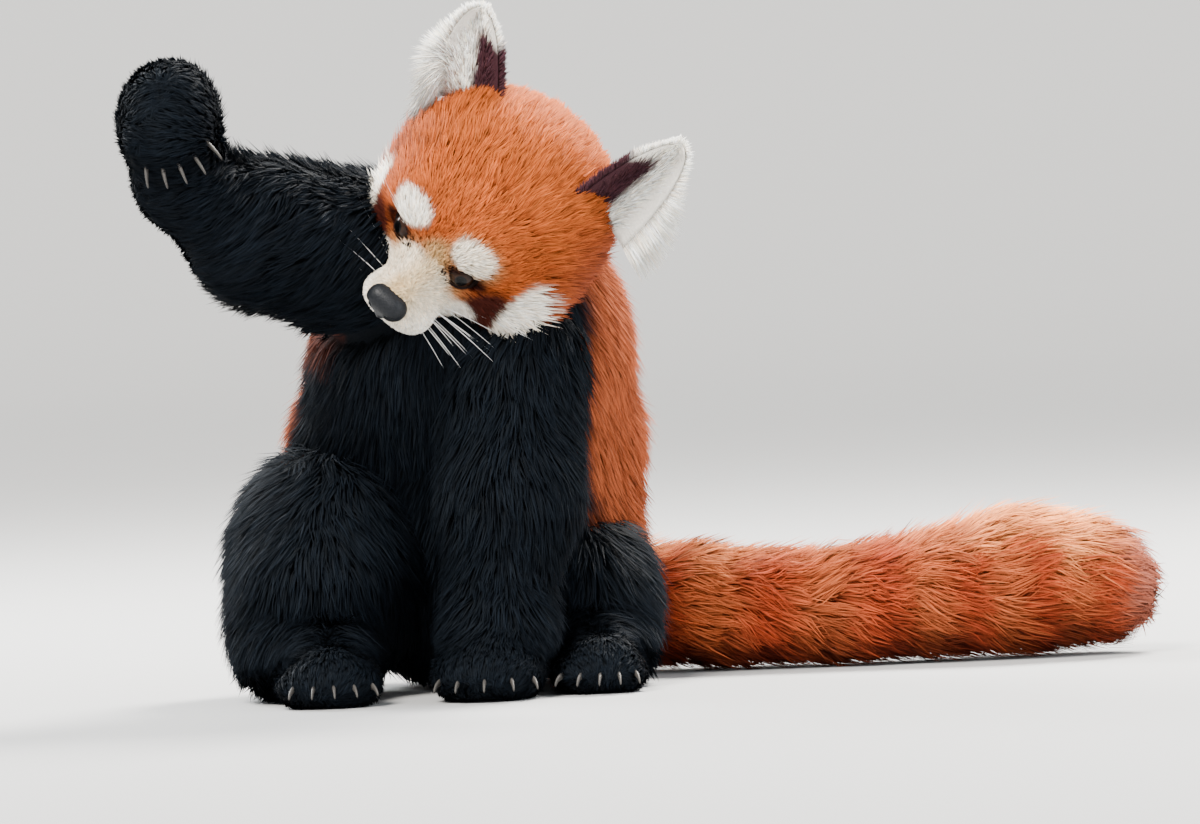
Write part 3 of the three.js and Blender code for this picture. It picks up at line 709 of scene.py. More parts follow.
def grain_group():
    """Fine and broad variation over the animal's surface."""
    group = bpy.data.node_groups.new("Animal grain", "ShaderNodeTree")
    for label, default in (("Fine scale", 900.0), ("Broad scale", 60.0), ("Low", 0.8), ("High", 1.2)):
        socket = group.interface.new_socket(label, in_out="INPUT", socket_type="NodeSocketFloat")
        socket.default_value = default
    for label in ("Brightness", "Height"):
        group.interface.new_socket(label, in_out="OUTPUT", socket_type="NodeSocketFloat")
    given, result = group.nodes.new("NodeGroupInput").outputs, group.nodes.new("NodeGroupOutput")
    place = add(group, "ShaderNodeTexCoord", {})["Object"]
    fine, broad = (
        add(group, "ShaderNodeTexNoise", {"Detail": 3, "Vector": place, "Scale": given[label]})["Fac"]
        for label in ("Fine scale", "Broad scale")
    )
    total = add(group, "ShaderNodeMath", {0: fine, 1: broad}, operation="ADD")[0]
    span = {"Value": total, "From Min": 0.7, "From Max": 1.3}
    span.update({"To Min": given["Low"], "To Max": given["High"]})
    wire(group, result, {"Brightness": add(group, "ShaderNodeMapRange", span)["Result"], "Height": fine})
    return group


def painted_material(name, layer, low=0.85, high=1.15, bump=0.0, fine=900.0, broad=60.0, **sockets):
    """A material with its colour from a painted attribute, varied by the shared grain."""
    material, tree, shader = new_material(name, **sockets)
    colour = add(tree, "ShaderNodeAttribute", {}, attribute_name=layer)["Color"]
    brightness, height = grain(tree, fine, broad, low, high)
    shade = add(tree, "ShaderNodeVectorMath", {0: colour, "Scale": brightness}, operation="SCALE")[0]
    wire(tree, shader, {"Base Color": shade})
    if bump:
        relief = {"Strength": bump, "Distance": 0.0006, "Height": height}
        wire(tree, shader, {"Normal": add(tree, "ShaderNodeBump", relief)[0]})
    return material


def coat_material():
    """Matt hair with a faint specular, shared by every coat piece."""
    if "Coat" in bpy.data.materials:
        return bpy.data.materials["Coat"]
    return painted_material("Coat", "coat", low=0.88, high=1.12, Roughness=0.75, Specular_IOR_Level=0.06)


# Geometry Nodes
TREE_INPUTS = (
    ("Surface", "Geometry", None),
    ("Pieces", "Collection", None),
    ("Density", "Float", 1.0),
    ("Unruliness", "Float", 0.0),
    ("Size variation", "Float", 0.0),
    ("Seed", "Int", 1),
    ("Material", "Material", None),
)


def growing_tree(scatter):
    """Grows pieces on a surface or on points. Each lies along "lie", rises by "rise" and has a "size"."""
    name = "Grow coat" if scatter else "Set in place"
    if name in bpy.data.node_groups:
        return bpy.data.node_groups[name]
    tree = bpy.data.node_groups.new(name, "GeometryNodeTree")
    tree.interface.new_socket("Geometry", in_out="OUTPUT", socket_type="NodeSocketGeometry")
    for label, kind, default in TREE_INPUTS:
        socket = tree.interface.new_socket(label, in_out="INPUT", socket_type="NodeSocket" + kind)
        if default is not None:
            socket.default_value = default
    given, result = tree.nodes.new("NodeGroupInput").outputs, tree.nodes.new("NodeGroupOutput")
    seed = given["Seed"]

    def named(label, kind="FLOAT_VECTOR"):
        return add(tree, "GeometryNodeInputNamedAttribute", {"Name": label}, data_type=kind)["Attribute"]

    def combine(operation, a, b):
        return add(tree, "ShaderNodeMath", {0: a, 1: b}, operation=operation)[0]

    def vectors(operation, inputs):
        return add(tree, "ShaderNodeVectorMath", inputs, operation=operation)[0]

    def random(kind, inputs):
        return add(tree, "FunctionNodeRandomValue", {**inputs, "Seed": seed}, data_type=kind)

    if scatter:
        thick = combine("MULTIPLY", named("thickness", "FLOAT"), given["Density"])
        ground = {"Mesh": given["Surface"], "Density": thick, "Seed": seed}
        spots = add(tree, "GeometryNodeDistributePointsOnFaces", ground)["Points"]
    else:
        spots = add(tree, "GeometryNodeMeshToPoints", {"Mesh": given["Surface"]})["Points"]
    out = named("out")
    rise = vectors("SCALE", {0: out, "Scale": named("rise", "FLOAT")})
    stray = random("FLOAT_VECTOR", {0: (-1, -1, -1), 1: (1, 1, 1)})[0]
    way = vectors("ADD", {0: named("lie"), 1: rise})
    way = vectors("ADD", {0: way, 1: vectors("SCALE", {0: stray, "Scale": given["Unruliness"]})})
    way = vectors("NORMALIZE", {0: way})
    axes = {"primary_axis": "Y", "secondary_axis": "Z"}
    turn = add(tree, "FunctionNodeAxesToRotation", {0: way, 1: out}, **axes)[0]
    least, most = (combine(operation, 1, given["Size variation"]) for operation in ("SUBTRACT", "ADD"))
    size = vectors("SCALE", {0: named("size"), "Scale": random("FLOAT", {2: least, 3: most})[1]})
    choice = {"Collection": given["Pieces"], "Separate Children": True, "Reset Children": True}
    setting = {
        "Points": spots,
        "Instance": add(tree, "GeometryNodeCollectionInfo", choice)[0],
        "Pick Instance": True,
        "Instance Index": random("INT", {4: 0, 5: 999})[2],
        "Rotation": turn,
        "Scale": size,
    }
    copies = add(tree, "GeometryNodeInstanceOnPoints", setting)[0]
    real = add(tree, "GeometryNodeRealizeInstances", {0: copies})[0]
    dressed = add(tree, "GeometryNodeSetMaterial", {"Geometry": real, "Material": given["Material"]})[0]
    wire(tree, result, {0: dressed})
    return tree


def grow(name, surface, pieces, material, scatter=True, **values):
    """Runs the growing tree on a surface and returns the result as a plain mesh object."""
    tree = growing_tree(scatter)
    modifier = surface.modifiers.new("Grow", "NODES")
    modifier.node_group = tree
    values.update({"Pieces": pieces, "Material": material})
    for item in tree.interface.items_tree:
        if item.item_type == "SOCKET" and item.in_out == "INPUT" and item.name in values:
            modifier[item.identifier] = values[item.name]
    bpy.context.view_layer.update()
    evaluated = surface.evaluated_get(bpy.context.evaluated_depsgraph_get())
    mesh = bpy.data.meshes.new_from_object(evaluated)
    if not mesh.polygons:
        raise RuntimeError(f"nothing grew for {name}")
    surface.modifiers.remove(modifier)
    mesh.name = name
    obj = bpy.data.objects.new(name, mesh)
    bpy.context.scene.collection.objects.link(obj)
    return obj


def drop(*objects):
    for obj in objects:
        mesh = obj.data
        bpy.data.objects.remove(obj)
        bpy.data.meshes.remove(mesh)


def collect(objects):
    """Takes objects out of the scene into a collection that Geometry Nodes pick from."""
    collection = bpy.data.collections.new("Pieces")
    for obj in objects:
        bpy.context.scene.collection.objects.unlink(obj)
        collection.objects.link(obj)
    return collection


def discard(collection):
    drop(*collection.objects)
    bpy.data.collections.remove(collection)


def set_in_place(name, shapes, material, seed, spots, lies, outs, sizes):
    """Sets one of the shapes on every spot, and returns them as one mesh object."""
    seats = new_mesh("Seats", metres(spots), [])
    set_growth(seats, lies, outs, np.zeros(len(spots)), sizes)
    pieces = collect([new_mesh(f"shape_{i}", *shape) for i, shape in enumerate(shapes)])
    obj = grow(name, seats, pieces, material, scatter=False, Seed=seed)
    drop(seats)
    discard(pieces)
    return obj


# One tuft is a thin three-sided spindle along +Y, one unit long. Each bend has its place and its width
SHORT_BLADE = ((0.4, 1.0),)
LONG_BLADE = ((0.28, 1.0), (0.66, 0.75))
SWAYS = (0.0, 0.10, -0.10, 0.2, -0.2, 0.05)


def blade_share(blade):
    """How far along its tuft each vertex of a blade is."""
    return np.array([0.0] + [y for y, _ in blade for _ in range(3)] + [1.0])


def blades(blade):
    """Tufts with different bends."""
    tufts = []
    for k, sway in enumerate(SWAYS):
        points = [(0, 0, 0)]
        for y, width in blade:
            x = sway * math.sin(2.4 * y)
            points += [(x - width / 2, y, 0), (x + width / 2, y, 0), (x, y, 0.3 * width)]
        last = len(points)
        points.append((sway * math.sin(2.4), 1.0, 0))
        sides = [(1 + j, 1 + (j + 1) % 3) for j in range(3)]
        faces = [(a, b, 0) for a, b in sides]
        faces += [(b + i, a + i, a + 3 + i, b + 3 + i) for i in range(0, last - 4, 3) for a, b in sides]
        faces += [(last - 4 + b, last - 4 + a, last) for a, b in sides]
        tufts.append(new_mesh(f"tuft_{k}", points, faces))
    return collect(tufts)


class PandaCoat(PropertyGroup):
    """How the coat is grown."""

    density: FloatProperty(
        name="Density", description="Tufts on the skin, against the normal number",
        default=1.0, min=0.05, max=2.0,
    )
    unruliness: FloatProperty(
        name="Unruliness", description="How far single tufts stray from the lie of the coat",
        default=0.16, min=0.0, max=1.0,
    )
    variation: FloatProperty(
        name="Length variation", description="How much the tufts differ in size",
        default=0.25, min=0.0, max=0.8,
    )
    seed: IntProperty(name="Seed", description="Draw of the coat", default=7, min=1)


class PandaParts(PropertyGroup):
    """Sizes and colours of the parts without a coat."""

    skin_pitch: FloatProperty(
        name="Skin pitch", description="Mesh size of the skin of the body",
        default=0.0032, min=0.001, unit="LENGTH",
    )
    face_pitch: FloatProperty(
        name="Face pitch", description="Mesh size of the skin of the head",
        default=0.0017, min=0.0008, unit="LENGTH",
    )
    whisker_length: FloatProperty(
        name="Whisker length", description="Length of the longest whisker", default=0.064, unit="LENGTH"
    )
    whisker_thickness: FloatProperty(
        name="Whisker thickness", description="Thickness of a whisker at its root",
        default=0.00042, unit="LENGTH",
    )
    claw_length: FloatProperty(
        name="Claw length", description="Length of a claw out of its toe", default=0.010, unit="LENGTH"
    )
    iris: FloatVectorProperty(
        name="Iris", description="Colour of the iris", default=(0.02, 0.008, 0.004), subtype="COLOR"
    )
    claw: FloatVectorProperty(
        name="Claw", description="Colour of the claws", default=(0.065, 0.06, 0.055), subtype="COLOR"
    )
    floor: FloatVectorProperty(
        name="Floor", description="Colour of the studio floor",
        default=(0.36, 0.362, 0.362), subtype="COLOR",
    )


HEAD_BOX = ((-75, -185, 180), (155, 40, 405))
BODY_BOX = ((-200, -170, -12), (476, 178, 420))
# The skin's height over the floor, and its shade, from 0 for the coat's colour at the root to 1 at the tip
SKIN_CLEARANCE = 0.6
SKIN_SHADE = 0.35


def skin_normal(region, p):
    return slope(lambda q: under_coat(region, q), p)


def skin_heights(p):
    """How high points are over the skin of each region, in the order of NAMES."""
    return np.stack([region_value(n, p) + depth(n, p) for n in NAMES], -1)


class PANDA_OT_skin(Operator):
    """One skin over the head and body, with lids, lips and ears"""

    bl_idname = "panda.skin"
    bl_label = "Skin"

    def execute(self, context):
        sizes = context.scene.panda_parts
        head = net(head_skin, *HEAD_BOX, sizes.face_pitch / MM)
        points, quads = net(body_skin, *BODY_BOX, sizes.skin_pitch / MM)
        points[:, 2] = np.maximum(points[:, 2], SKIN_CLEARANCE)
        parts = [head, (points, quads)]
        nearest = skin_heights(points).argmin(-1)
        painted = np.zeros((len(points), 3))
        for i, region in enumerate(NAMES):
            here = nearest == i
            if here.any():
                painted[here] = mix(*markings_and_light(region, points[here]), SKIN_SHADE)
        colours = [mix(*head_markings_and_light(head[0]), SKIN_SHADE), painted]
        for ear in EARS.values():
            points, quads, caps, v, w, back = ear_mesh(ear)
            parts.append((points, quads + caps))
            colours.append(ear_colours(ear, v, w, back) * 0.8)
        for s in (1, -1):
            parts.append(lid_mesh(s))
            colours.append(np.broadcast_to(LID_COLOUR, parts[-1][0].shape))
        points, faces = join_parts(parts)
        skin = new_mesh("Skin", metres(points), faces)
        paint(skin, "markings_and_light", np.concatenate(colours))
        look = {"bump": 0.5, "fine": 700.0, "broad": 45.0, "Roughness": 0.8, "Specular_IOR_Level": 0.06}
        skin.data.materials.append(painted_material("Skin under the coat", "markings_and_light", **look))
        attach(skin, "root")
        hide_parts(*FLESH_NODES)
        return {"FINISHED"}


def ear_colours(ear, v, w, back):
    """White tip and outer half, with a dark patch on the inner half."""
    inner = -ear["s"] * w
    dark = step(-0.25, 0.1, inner) * (1 - step(0.6, 0.74, v))
    colour = mix(np.broadcast_to(CREAM, (len(v), 3)), EAR_PATCH, dark)
    behind = back * (1 - step(0.5, 0.8, np.abs(w))) * (1 - step(0.7, 0.9, v))
    return mix(colour, BACK, behind)


def coat_size(name, p):
    """Length and width of the tufts at these points."""
    deep = depth(name, p)
    if name == "head":
        return (1.15 * deep + 2) * (1 + 0.5 * cheek_tuft(p)), 0.72 + 0.04 * deep
    if name == "tail":
        return 1.9 * deep, 1.3 + 0 * deep
    return 1.6 * deep + 1.5, 0.75 + 0.035 * deep


# The mesh sizes of the ground that the coat grows on, the part of it that the nose keeps bare, how far
# forward the face starts on the head, and where along X the two pieces of the tail meet
FACE_GROUND = 2.4
BODY_GROUND = 4.0
NOSE_GROUND = head_ball(0, 86, -16, 11.5, 9.5, 8.8)
FACE_START = 24
TAIL_MIDDLE = 235

# Coat pieces: region, tufts in thousands, blade, tufts in a clump, and where in the region they grow
COAT = {
    "Coat_face": ("head", 29.0, SHORT_BLADE, 7, lambda p: head_coordinates(p)[..., 1] > FACE_START),
    "Coat_crown": ("head", 31.0, SHORT_BLADE, 10, lambda p: head_coordinates(p)[..., 1] <= FACE_START),
    "Coat_back": ("torso", 19.0, SHORT_BLADE, 12, lambda p: p[..., 1] > 30),
    "Coat_flanks": ("torso", 24.0, SHORT_BLADE, 12, lambda p: p[..., 1] <= 30),
    "Coat_raised_arm": ("arm", 24.0, SHORT_BLADE, 12, None),
    "Coat_foreleg": ("foreleg", 19.0, SHORT_BLADE, 12, None),
    "Coat_hind_right": ("hind_right", 24.0, SHORT_BLADE, 12, None),
    "Coat_hind_left": ("hind_left", 12.0, SHORT_BLADE, 12, None),
    "Coat_tail_base": ("tail", 11.0, LONG_BLADE, 14, lambda p: p[..., 0] < TAIL_MIDDLE),
    "Coat_tail_end": ("tail", 15.0, LONG_BLADE, 14, lambda p: p[..., 0] >= TAIL_MIDDLE),
}


def coat_surface(name, region, where, points, faces, values):
    """The part of the skin that a coat piece grows on, with the attributes that the tree reads."""
    index = NAMES.index(region)
    others = np.delete(values, index, 1).min(-1)
    keep = values[:, index] <= np.delete(values, [0, index], 1).min(-1) if index else others > -8
    if where is not None:
        keep &= where(points)
    keep_face = keep[faces].all(-1)
    used = np.unique(faces[keep_face])
    renumber = np.zeros(len(points), int)
    renumber[used] = np.arange(len(used))
    p = points[used]
    surface = new_mesh(name + "_ground", metres(p), renumber[faces[keep_face]])
    out = skin_normal(region, p)
    length, width = coat_size(region, p)
    size = np.stack([width, length, width], -1) * MM
    thickness = 1 / np.maximum(length * width, 1) * step(-6, -1, others[used])
    if region != "tail":
        thickness = thickness * (p[:, 2] > 2.5)
    if region == "head":
        for bare in (eye_opening(1, 1.15, 14, 1.35), eye_opening(-1, 1.15, 14, 1.35), NOSE_GROUND):
            thickness = thickness * (bare(p) > 0)
    set_growth(surface, lie(region, p, out), out, np.full(len(p), 0.1), size)
    attribute(surface, "thickness", thickness)
    return surface, thickness


def vertices(obj):
    co = np.empty(len(obj.data.vertices) * 3, np.float32)
    obj.data.vertices.foreach_get("co", co)
    return co.reshape(-1, 3).astype(float)


def set_vertices(obj, co):
    obj.data.vertices.foreach_set("co", np.asarray(co, np.float32).ravel())
    obj.data.update()


def nearest_of(points, chosen):
    """For each point, which of the chosen ones is nearest."""
    tree = KDTree(len(chosen))
    for i, place in enumerate(chosen):
        tree.insert(place, i)
    tree.balance()
    return np.array([tree.find(place)[1] for place in points])


def cheek_tuft(p):
    """1 where the hair of the lower cheeks hangs out over the ruff."""
    side = head_coordinates(p)
    side[..., 0] = np.abs(side[..., 0])
    return oval(side, (60, 34, -32), (18, 20, 14), 0.5)


# The share of tufts that leave their clump, how strongly a clump draws its tips in, and the depth of roots
STRAY_SHARE = 0.05
PULL = {"tail": 0.62}
ROOT_DEPTH = 0.8


def comb(obj, region, share, clump, seed):
    """Lays the tufts along the skin, tips as high as the coat is deep, and draws them into clumps."""
    per_tuft = len(share)
    co = vertices(obj).reshape(-1, per_tuft, 3) / MM + SEAT
    root = co[:, 0].copy()
    draw = np.random.default_rng(seed)
    clumps = nearest_of(root, root[::clump])
    reach_up = draw.normal(0.8, 0.09, clumps.max() + 1)[clumps] + draw.normal(0, 0.12, len(root))
    stray = draw.random(len(root)) < STRAY_SHARE
    reach_up = np.clip(reach_up + stray * 0.3, 0.4, 1.3) * depth(region, root)
    if region == "head":
        reach_up *= 1 + 0.9 * cheek_tuft(root)
    leader = co[::clump][clumps]
    for ring in [[0]] + [[i, i + 1, i + 2] for i in range(1, per_tuft - 1, 3)] + [[per_tuft - 1]]:
        t = share[ring[0]]
        pull = (PULL.get(region, 0.45) * t * t * ~stray)[:, None, None]
        co[:, ring] += pull * (leader[:, ring].mean(1) - co[:, ring].mean(1))[:, None]
        middle = co[:, ring].mean(1)
        height = reach_up * t**0.7 if t > 0 else np.full(len(root), -ROOT_DEPTH)
        lift = (height - under_coat(region, middle))[:, None]
        co[:, ring] += (skin_normal(region, middle) * lift)[:, None]
    set_vertices(obj, metres(co.reshape(-1, 3)))
    return root, clumps


def soften(obj, out, per_tuft, share, seed):
    """Turns the shading of each tuft towards the skin's own, so that the coat looks dense."""
    draw = np.random.default_rng(seed)
    mesh = obj.data
    own = np.empty(len(mesh.vertices) * 3, np.float32)
    mesh.vertex_normals.foreach_get("vector", own)
    own = own.reshape(-1, per_tuft, 3)
    lean = draw.normal(0, 0.22, (len(out), 1, 3))
    normals = unit(share * (out[:, None] + lean) + (1 - share) * own)
    mesh.normals_split_custom_set_from_vertices(normals.reshape(-1, 3))


# The width of a tuft's patch on the map
TUFT_PATCH = 0.003


def bake_map(obj, region, share, root):
    """OFBake: each tuft is a small patch at its root's place on the unwrapped skin."""
    mesh = obj.data
    side = np.array([0.0] + [-0.5, 0.5, 0.0] * (len(share) // 3) + [0.0])
    local = np.stack([side, share - 0.5], -1) * TUFT_PATCH
    corners = (unwrap(region, root)[:, None] * 0.99 + 0.005 + local[None]).reshape(-1, 2)
    layer = mesh.uv_layers.new(name="OFBake")
    loops = np.empty(len(mesh.loops), np.int32)
    mesh.loops.foreach_get("vertex_index", loops)
    layer.data.foreach_set("uv", corners[loops].astype(np.float32).ravel())


SPINES = {
    "head": (in_head(0, 80, -14), in_head(0, -60, 10), HEAD_U),
    "torso": (v3(40, -20, 300), v3(22, 50, 0), v3(0, 1, 0)),
    "arm": (v3(-22, -22, 268), v3(-150, -112, 380), v3(0, 1, 0)),
    "foreleg": (v3(52, -38, 230), v3(32, -110, 0), v3(0, 1, 0)),
    "hind_right": (v3(-64, 60, 120), v3(-68, -120, 10), v3(1, 0, 0)),
    "hind_left": (v3(90, 70, 90), v3(100, -95, 10), v3(1, 0, 0)),
}


def unwrap(region, p):
    """Skin coordinates, 0 to 1: the turn about the region's spine and the way along it."""
    if region == "tail":
        along, way = tail_place(p)
        index = np.clip((along * 6).astype(int), 0, 5)
        base = TAIL_PATH[index]
        side = unit(np.cross(way, v3(0, 0, 1)))
        top = np.cross(side, way)
    else:
        start, end, up = SPINES[region]
        way = unit(end - start)
        along = (p - start) @ way / np.linalg.norm(end - start)
        base = start
        side = unit(np.cross(way, up))
        top = np.cross(side, way)
    arm = p - base
    angle = np.arctan2((arm * top).sum(-1), (arm * side).sum(-1)) / (2 * np.pi) + 0.5
    return np.stack([angle, np.clip(along, 0, 1)], -1)


def colour_tufts(obj, tones, share, clumps, seed):
    """Root to tip colours of every tuft. Clumps differ in shade, and so do the tufts in one."""
    draw = np.random.default_rng(seed)
    deep, pale = tones
    count = len(deep)
    shade = draw.normal(1.0, 0.12, clumps.max() + 1)[clumps] + draw.normal(0, 0.11, count)
    warm = draw.normal(0.0, 0.05, (count, 1)) * np.array([1.0, 0.1, -0.7])
    along = step(0.0, 0.9, share)[None, :, None]
    colours = deep[:, None] * (1 - along) + pale[:, None] * along
    colours = colours * np.clip(shade, 0.55, 1.6)[:, None, None] * (1 + warm[:, None])
    paint(obj, "coat", np.clip(colours, 0, 1).reshape(-1, 3))


def grow_tufts(name, surface, tufts, thousands, area, unruliness, seed):
    """Grows about so many tufts on a surface, where area is its own, weighed by its thickness of coat."""
    coat = bpy.context.scene.panda_coat
    share = coat.density * 1.0
    density = 1000 * thousands * share / area
    values = {"Density": density, "Unruliness": unruliness, "Seed": seed, "Size variation": coat.variation}
    return grow(name, surface, tufts, coat_material(), **values)


RUFFLED = {"head": 1.7, "tail": 1.5}
SOFTNESS = 0.72


class PANDA_OT_coat(Operator):
    """The coat, as tufts that lie along the skin"""

    bl_idname = "panda.coat"
    bl_label = "Coat"

    def execute(self, context):
        coat = context.scene.panda_coat
        grounds = []
        for field, box, pitch in (head_surface, HEAD_BOX, FACE_GROUND), (body_skin, BODY_BOX, BODY_GROUND):
            points, quads = net(field, *box, pitch)
            grounds.append((points, quads, skin_heights(points)))
        tufts = {blade: blades(blade) for blade in (SHORT_BLADE, LONG_BLADE)}
        for k, (name, (region, thousands, blade, clump, where)) in enumerate(COAT.items()):
            surface, thickness = coat_surface(name, region, where, *grounds[region != "head"])
            areas = np.array([polygon.area for polygon in surface.data.polygons])
            corners = np.empty(len(surface.data.loops), np.int32)
            surface.data.loops.foreach_get("vertex_index", corners)
            area = (areas * thickness[corners.reshape(-1, 4)].mean(-1)).sum()
            unruliness = coat.unruliness * RUFFLED.get(region, 1.0)
            obj = grow_tufts(name, surface, tufts[blade], thousands, area, unruliness, coat.seed + k)
            along = blade_share(blade)
            root, clumps = comb(obj, region, along, clump, coat.seed + k)
            bake_map(obj, region, along, root)
            colour_tufts(obj, markings_and_light(region, root), along, clumps, coat.seed + 100 + k)
            keep_above_floor(obj)
            soften(obj, skin_normal(region, root), len(along), SOFTNESS, coat.seed + 200 + k)
            drop(surface)
            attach(obj, "root")
        for collection in tufts.values():
            discard(collection)
        return {"FINISHED"}


def keep_above_floor(obj):
    """Hair that would pass through the floor lies on it."""
    lowest, band, layers = 0.0002, 0.0006, 7
    co = vertices(obj)
    low = co[:, 2] < lowest + band
    co[low, 2] = lowest + band * (np.arange(len(co))[low] % layers) / layers
    set_vertices(obj, co)


def sphere(centre, axes, radius, around=48, down=32):
    """A closed ball: points, faces and, for each point, its angle from the second axis in degrees."""
    angle = np.pi * np.arange(1, down) / down
    turn = 2 * np.pi * np.arange(around) / around
    a, t = np.meshgrid(angle, turn, indexing="ij")
    local = np.stack([np.sin(a) * np.cos(t), np.cos(a), np.sin(a) * np.sin(t)], -1).reshape(-1, 3)
    local = np.concatenate([[[0, 1, 0]], local, [[0, -1, 0]]])
    points = centre + (local * radius) @ axes
    faces = [(0, (j + 1) % around + 1, j + 1) for j in range(around)]
    faces += [tuple(1 + k for k in face) for face in tube_faces(down - 1, around)]
    last = len(points) - 1
    faces += [(last, last - around + j, last - around + (j + 1) % around) for j in range(around)]
    return points, faces, np.degrees(np.arccos(np.clip(local[:, 1], -1, 1)))


class PANDA_OT_eyes(Operator):
    """Dark glossy eyes with a brown iris"""

    bl_idname = "panda.eyes"
    bl_label = "Eyes"

    def execute(self, context):
        gloss = {"Roughness": 0.4, "Specular_IOR_Level": 0.03, "Coat_Weight": 0.28, "Coat_Roughness": 0.02}
        material, tree, shader = new_material("Eye", **gloss)
        iris = list(context.scene.panda_parts.iris)
        angle = add(tree, "ShaderNodeAttribute", {}, attribute_name="turned")["Fac"]
        share = add(tree, "ShaderNodeMath", {0: angle, 1: 180}, operation="DIVIDE")[0]
        stops = (
            (0.0, (0.001, 0.001, 0.001)),
            (0.115, (0.001, 0.001, 0.001)),
            (0.135, iris),
            (0.25, [c * 0.6 for c in iris]),
            (0.29, (0.004, 0.003, 0.003)),
            (1.0, (0.012, 0.008, 0.007)),
        )
        grade(tree, shader, share, stops)
        for side, s in (("left", 1), ("right", -1)):
            centre, axes = eye_frame(s)
            points, faces, angle = sphere(centre, axes, EYE_RADIUS)
            bulge = 0.55 * (1 - step(18, 44, angle))
            eye = new_mesh("Eye_" + side, metres(points + unit(points - centre) * bulge[:, None]), faces)
            attribute(eye, "turned", angle)
            eye.data.materials.append(material)
            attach(eye, "root")
            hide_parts("eye_" + side)
        return {"FINISHED"}


class PANDA_OT_nose(Operator):
    """Bare nose pad with its nostrils"""

    bl_idname = "panda.nose"
    bl_label = "Nose"

    def execute(self, context):
        def pad(p):
            forms = [head_ball(0, 85, -15, 11.2, 8.5, 8.0), *head_pair(6.8, 86, -15.5, 5.8, 6.8, 6.8)]
            value = blend([form(p) for form in [*forms, head_ball(0, 85, -21.5, 4, 6.5, 6.5)]], 4)
            for s in (1, -1):
                nostril = taper(in_head(s * 4.6, 96, -16.5), in_head(s * 11.5, 90, -19.5), 2.0, 2.6)
                value = np.maximum(value, -nostril(p))
            return np.maximum(value, -head_cone((0, 97, -14), (0, 93, -30), 0.7, 0.8)(p))

        centre = in_head(0, 86, -16)
        points, quads = net(pad, centre - 24, centre + 24, 0.7)
        nose = new_mesh("Nose", metres(points), quads)
        gloss = {"Roughness": 0.5, "Specular_IOR_Level": 0.14, "Coat_Weight": 0.05, "Coat_Roughness": 0.3}
        material, tree, shader = new_material("Nose skin", **gloss)
        place = add(tree, "ShaderNodeTexCoord", {})["Object"]
        cells = add(tree, "ShaderNodeTexVoronoi", {"Scale": 900, "Vector": place})["Distance"]
        grade(tree, shader, cells, ((0.0, (0.010, 0.011, 0.014)), (1.0, (0.004, 0.005, 0.006))))
        relief = {"Strength": 0.5, "Distance": 0.0003, "Height": cells}
        wire(tree, shader, {"Normal": add(tree, "ShaderNodeBump", relief, invert=True)[0]})
        nose.data.materials.append(material)
        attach(nose, "root")
        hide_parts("nose")
        return {"FINISHED"}


# Paws: region, where the fan of claws starts, and the ways forward and down
PAWS = {
    "forepaw_left": ("foreleg", v3(31, -100, 13), v3(-0.05, -1, 0), v3(0, 0, -1)),
    "hindfoot_right": ("hind_right", v3(-64, -108, 13), v3(0.06, -1, 0), v3(0, 0, -1)),
    "hindfoot_left": ("hind_left", v3(102, -78, 12), v3(-0.1, -1, 0), v3(0, 0, -1)),
    "forepaw_right": ("arm", v3(-148, -128, 350), v3(0.3, -0.6, -0.74), v3(0.2, 0.75, -0.6)),
}
CLAW_FAN = (-50, -25, 0, 25, 50)


def turned(v, axis, degrees):
    a = math.radians(degrees)
    return v * math.cos(a) + np.cross(axis, v) * math.sin(a) + axis * (axis @ v) * (1 - math.cos(a))


def reach_out(field, start, way, most=120):
    """The last point of a ray that is still inside a field."""
    t = np.linspace(0, most, 481)
    inside = field(start + t[:, None] * way) < 0
    return start + way * t[max(int(np.argmin(inside)) - 1, 0)]


def spike(sides, rings, place, tip):
    """A closed shape of rings that runs to a tip. place gives a point at a length and an angle."""
    points = [place(i / rings, 2 * math.pi * j / sides) for i in range(rings) for j in range(sides)]
    top = (rings - 1) * sides
    faces = [tuple(range(sides))[::-1], *tube_faces(rings, sides)]
    faces += [(top + j, top + (j + 1) % sides, len(points)) for j in range(sides)]
    return [*points, tip], faces


def horn():
    """One claw, one unit long: it leaves the toe along +Y and bends down to -Z."""

    def place(t, a):
        thick = 0.09 + 0.16 * (1 - t)
        slant = math.atan2(-1.24 * t, 1.9 - 1.26 * t)
        high = math.sin(a) * thick
        y, z = -0.55 + 1.9 * t - 0.63 * t * t, -0.62 * t * t
        return math.cos(a) * thick * 0.55, y - high * math.sin(slant), z + high * math.cos(slant)

    return spike(10, 9, place, (0, 0.72, -0.62))


class PANDA_OT_claws(Operator):
    """Five claws on each paw"""

    bl_idname = "panda.claws"
    bl_label = "Claws"

    def execute(self, context):
        length = context.scene.panda_parts.claw_length
        spots, lies, outs = [], [], []
        for region, start, forward, down in PAWS.values():
            ahead = unit(forward)
            below = unit(down - ahead * (down @ ahead))
            for degrees in CLAW_FAN:
                way = turned(ahead, below, degrees)
                spots.append(reach_out(lambda p: region_value(region, p), start, way))
                lies.append(unit(way * 0.4 + ahead * 0.6))
                outs.append(-below)
        material, tree, shader = new_material("Claw horn", Roughness=0.5, Specular_IOR_Level=0.25)
        base = list(context.scene.panda_parts.claw)
        height = grain(tree, 1400, 160)["Height"]
        grade(tree, shader, height, ((0.0, [c * 0.45 for c in base]), (1.0, base)))
        sizes = np.full((len(spots), 3), length)
        claws = set_in_place("Claws", [horn()], material, 3, spots, lies, outs, sizes)
        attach(claws, "root")
        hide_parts(*CLAW_NODES)
        return {"FINISHED"}


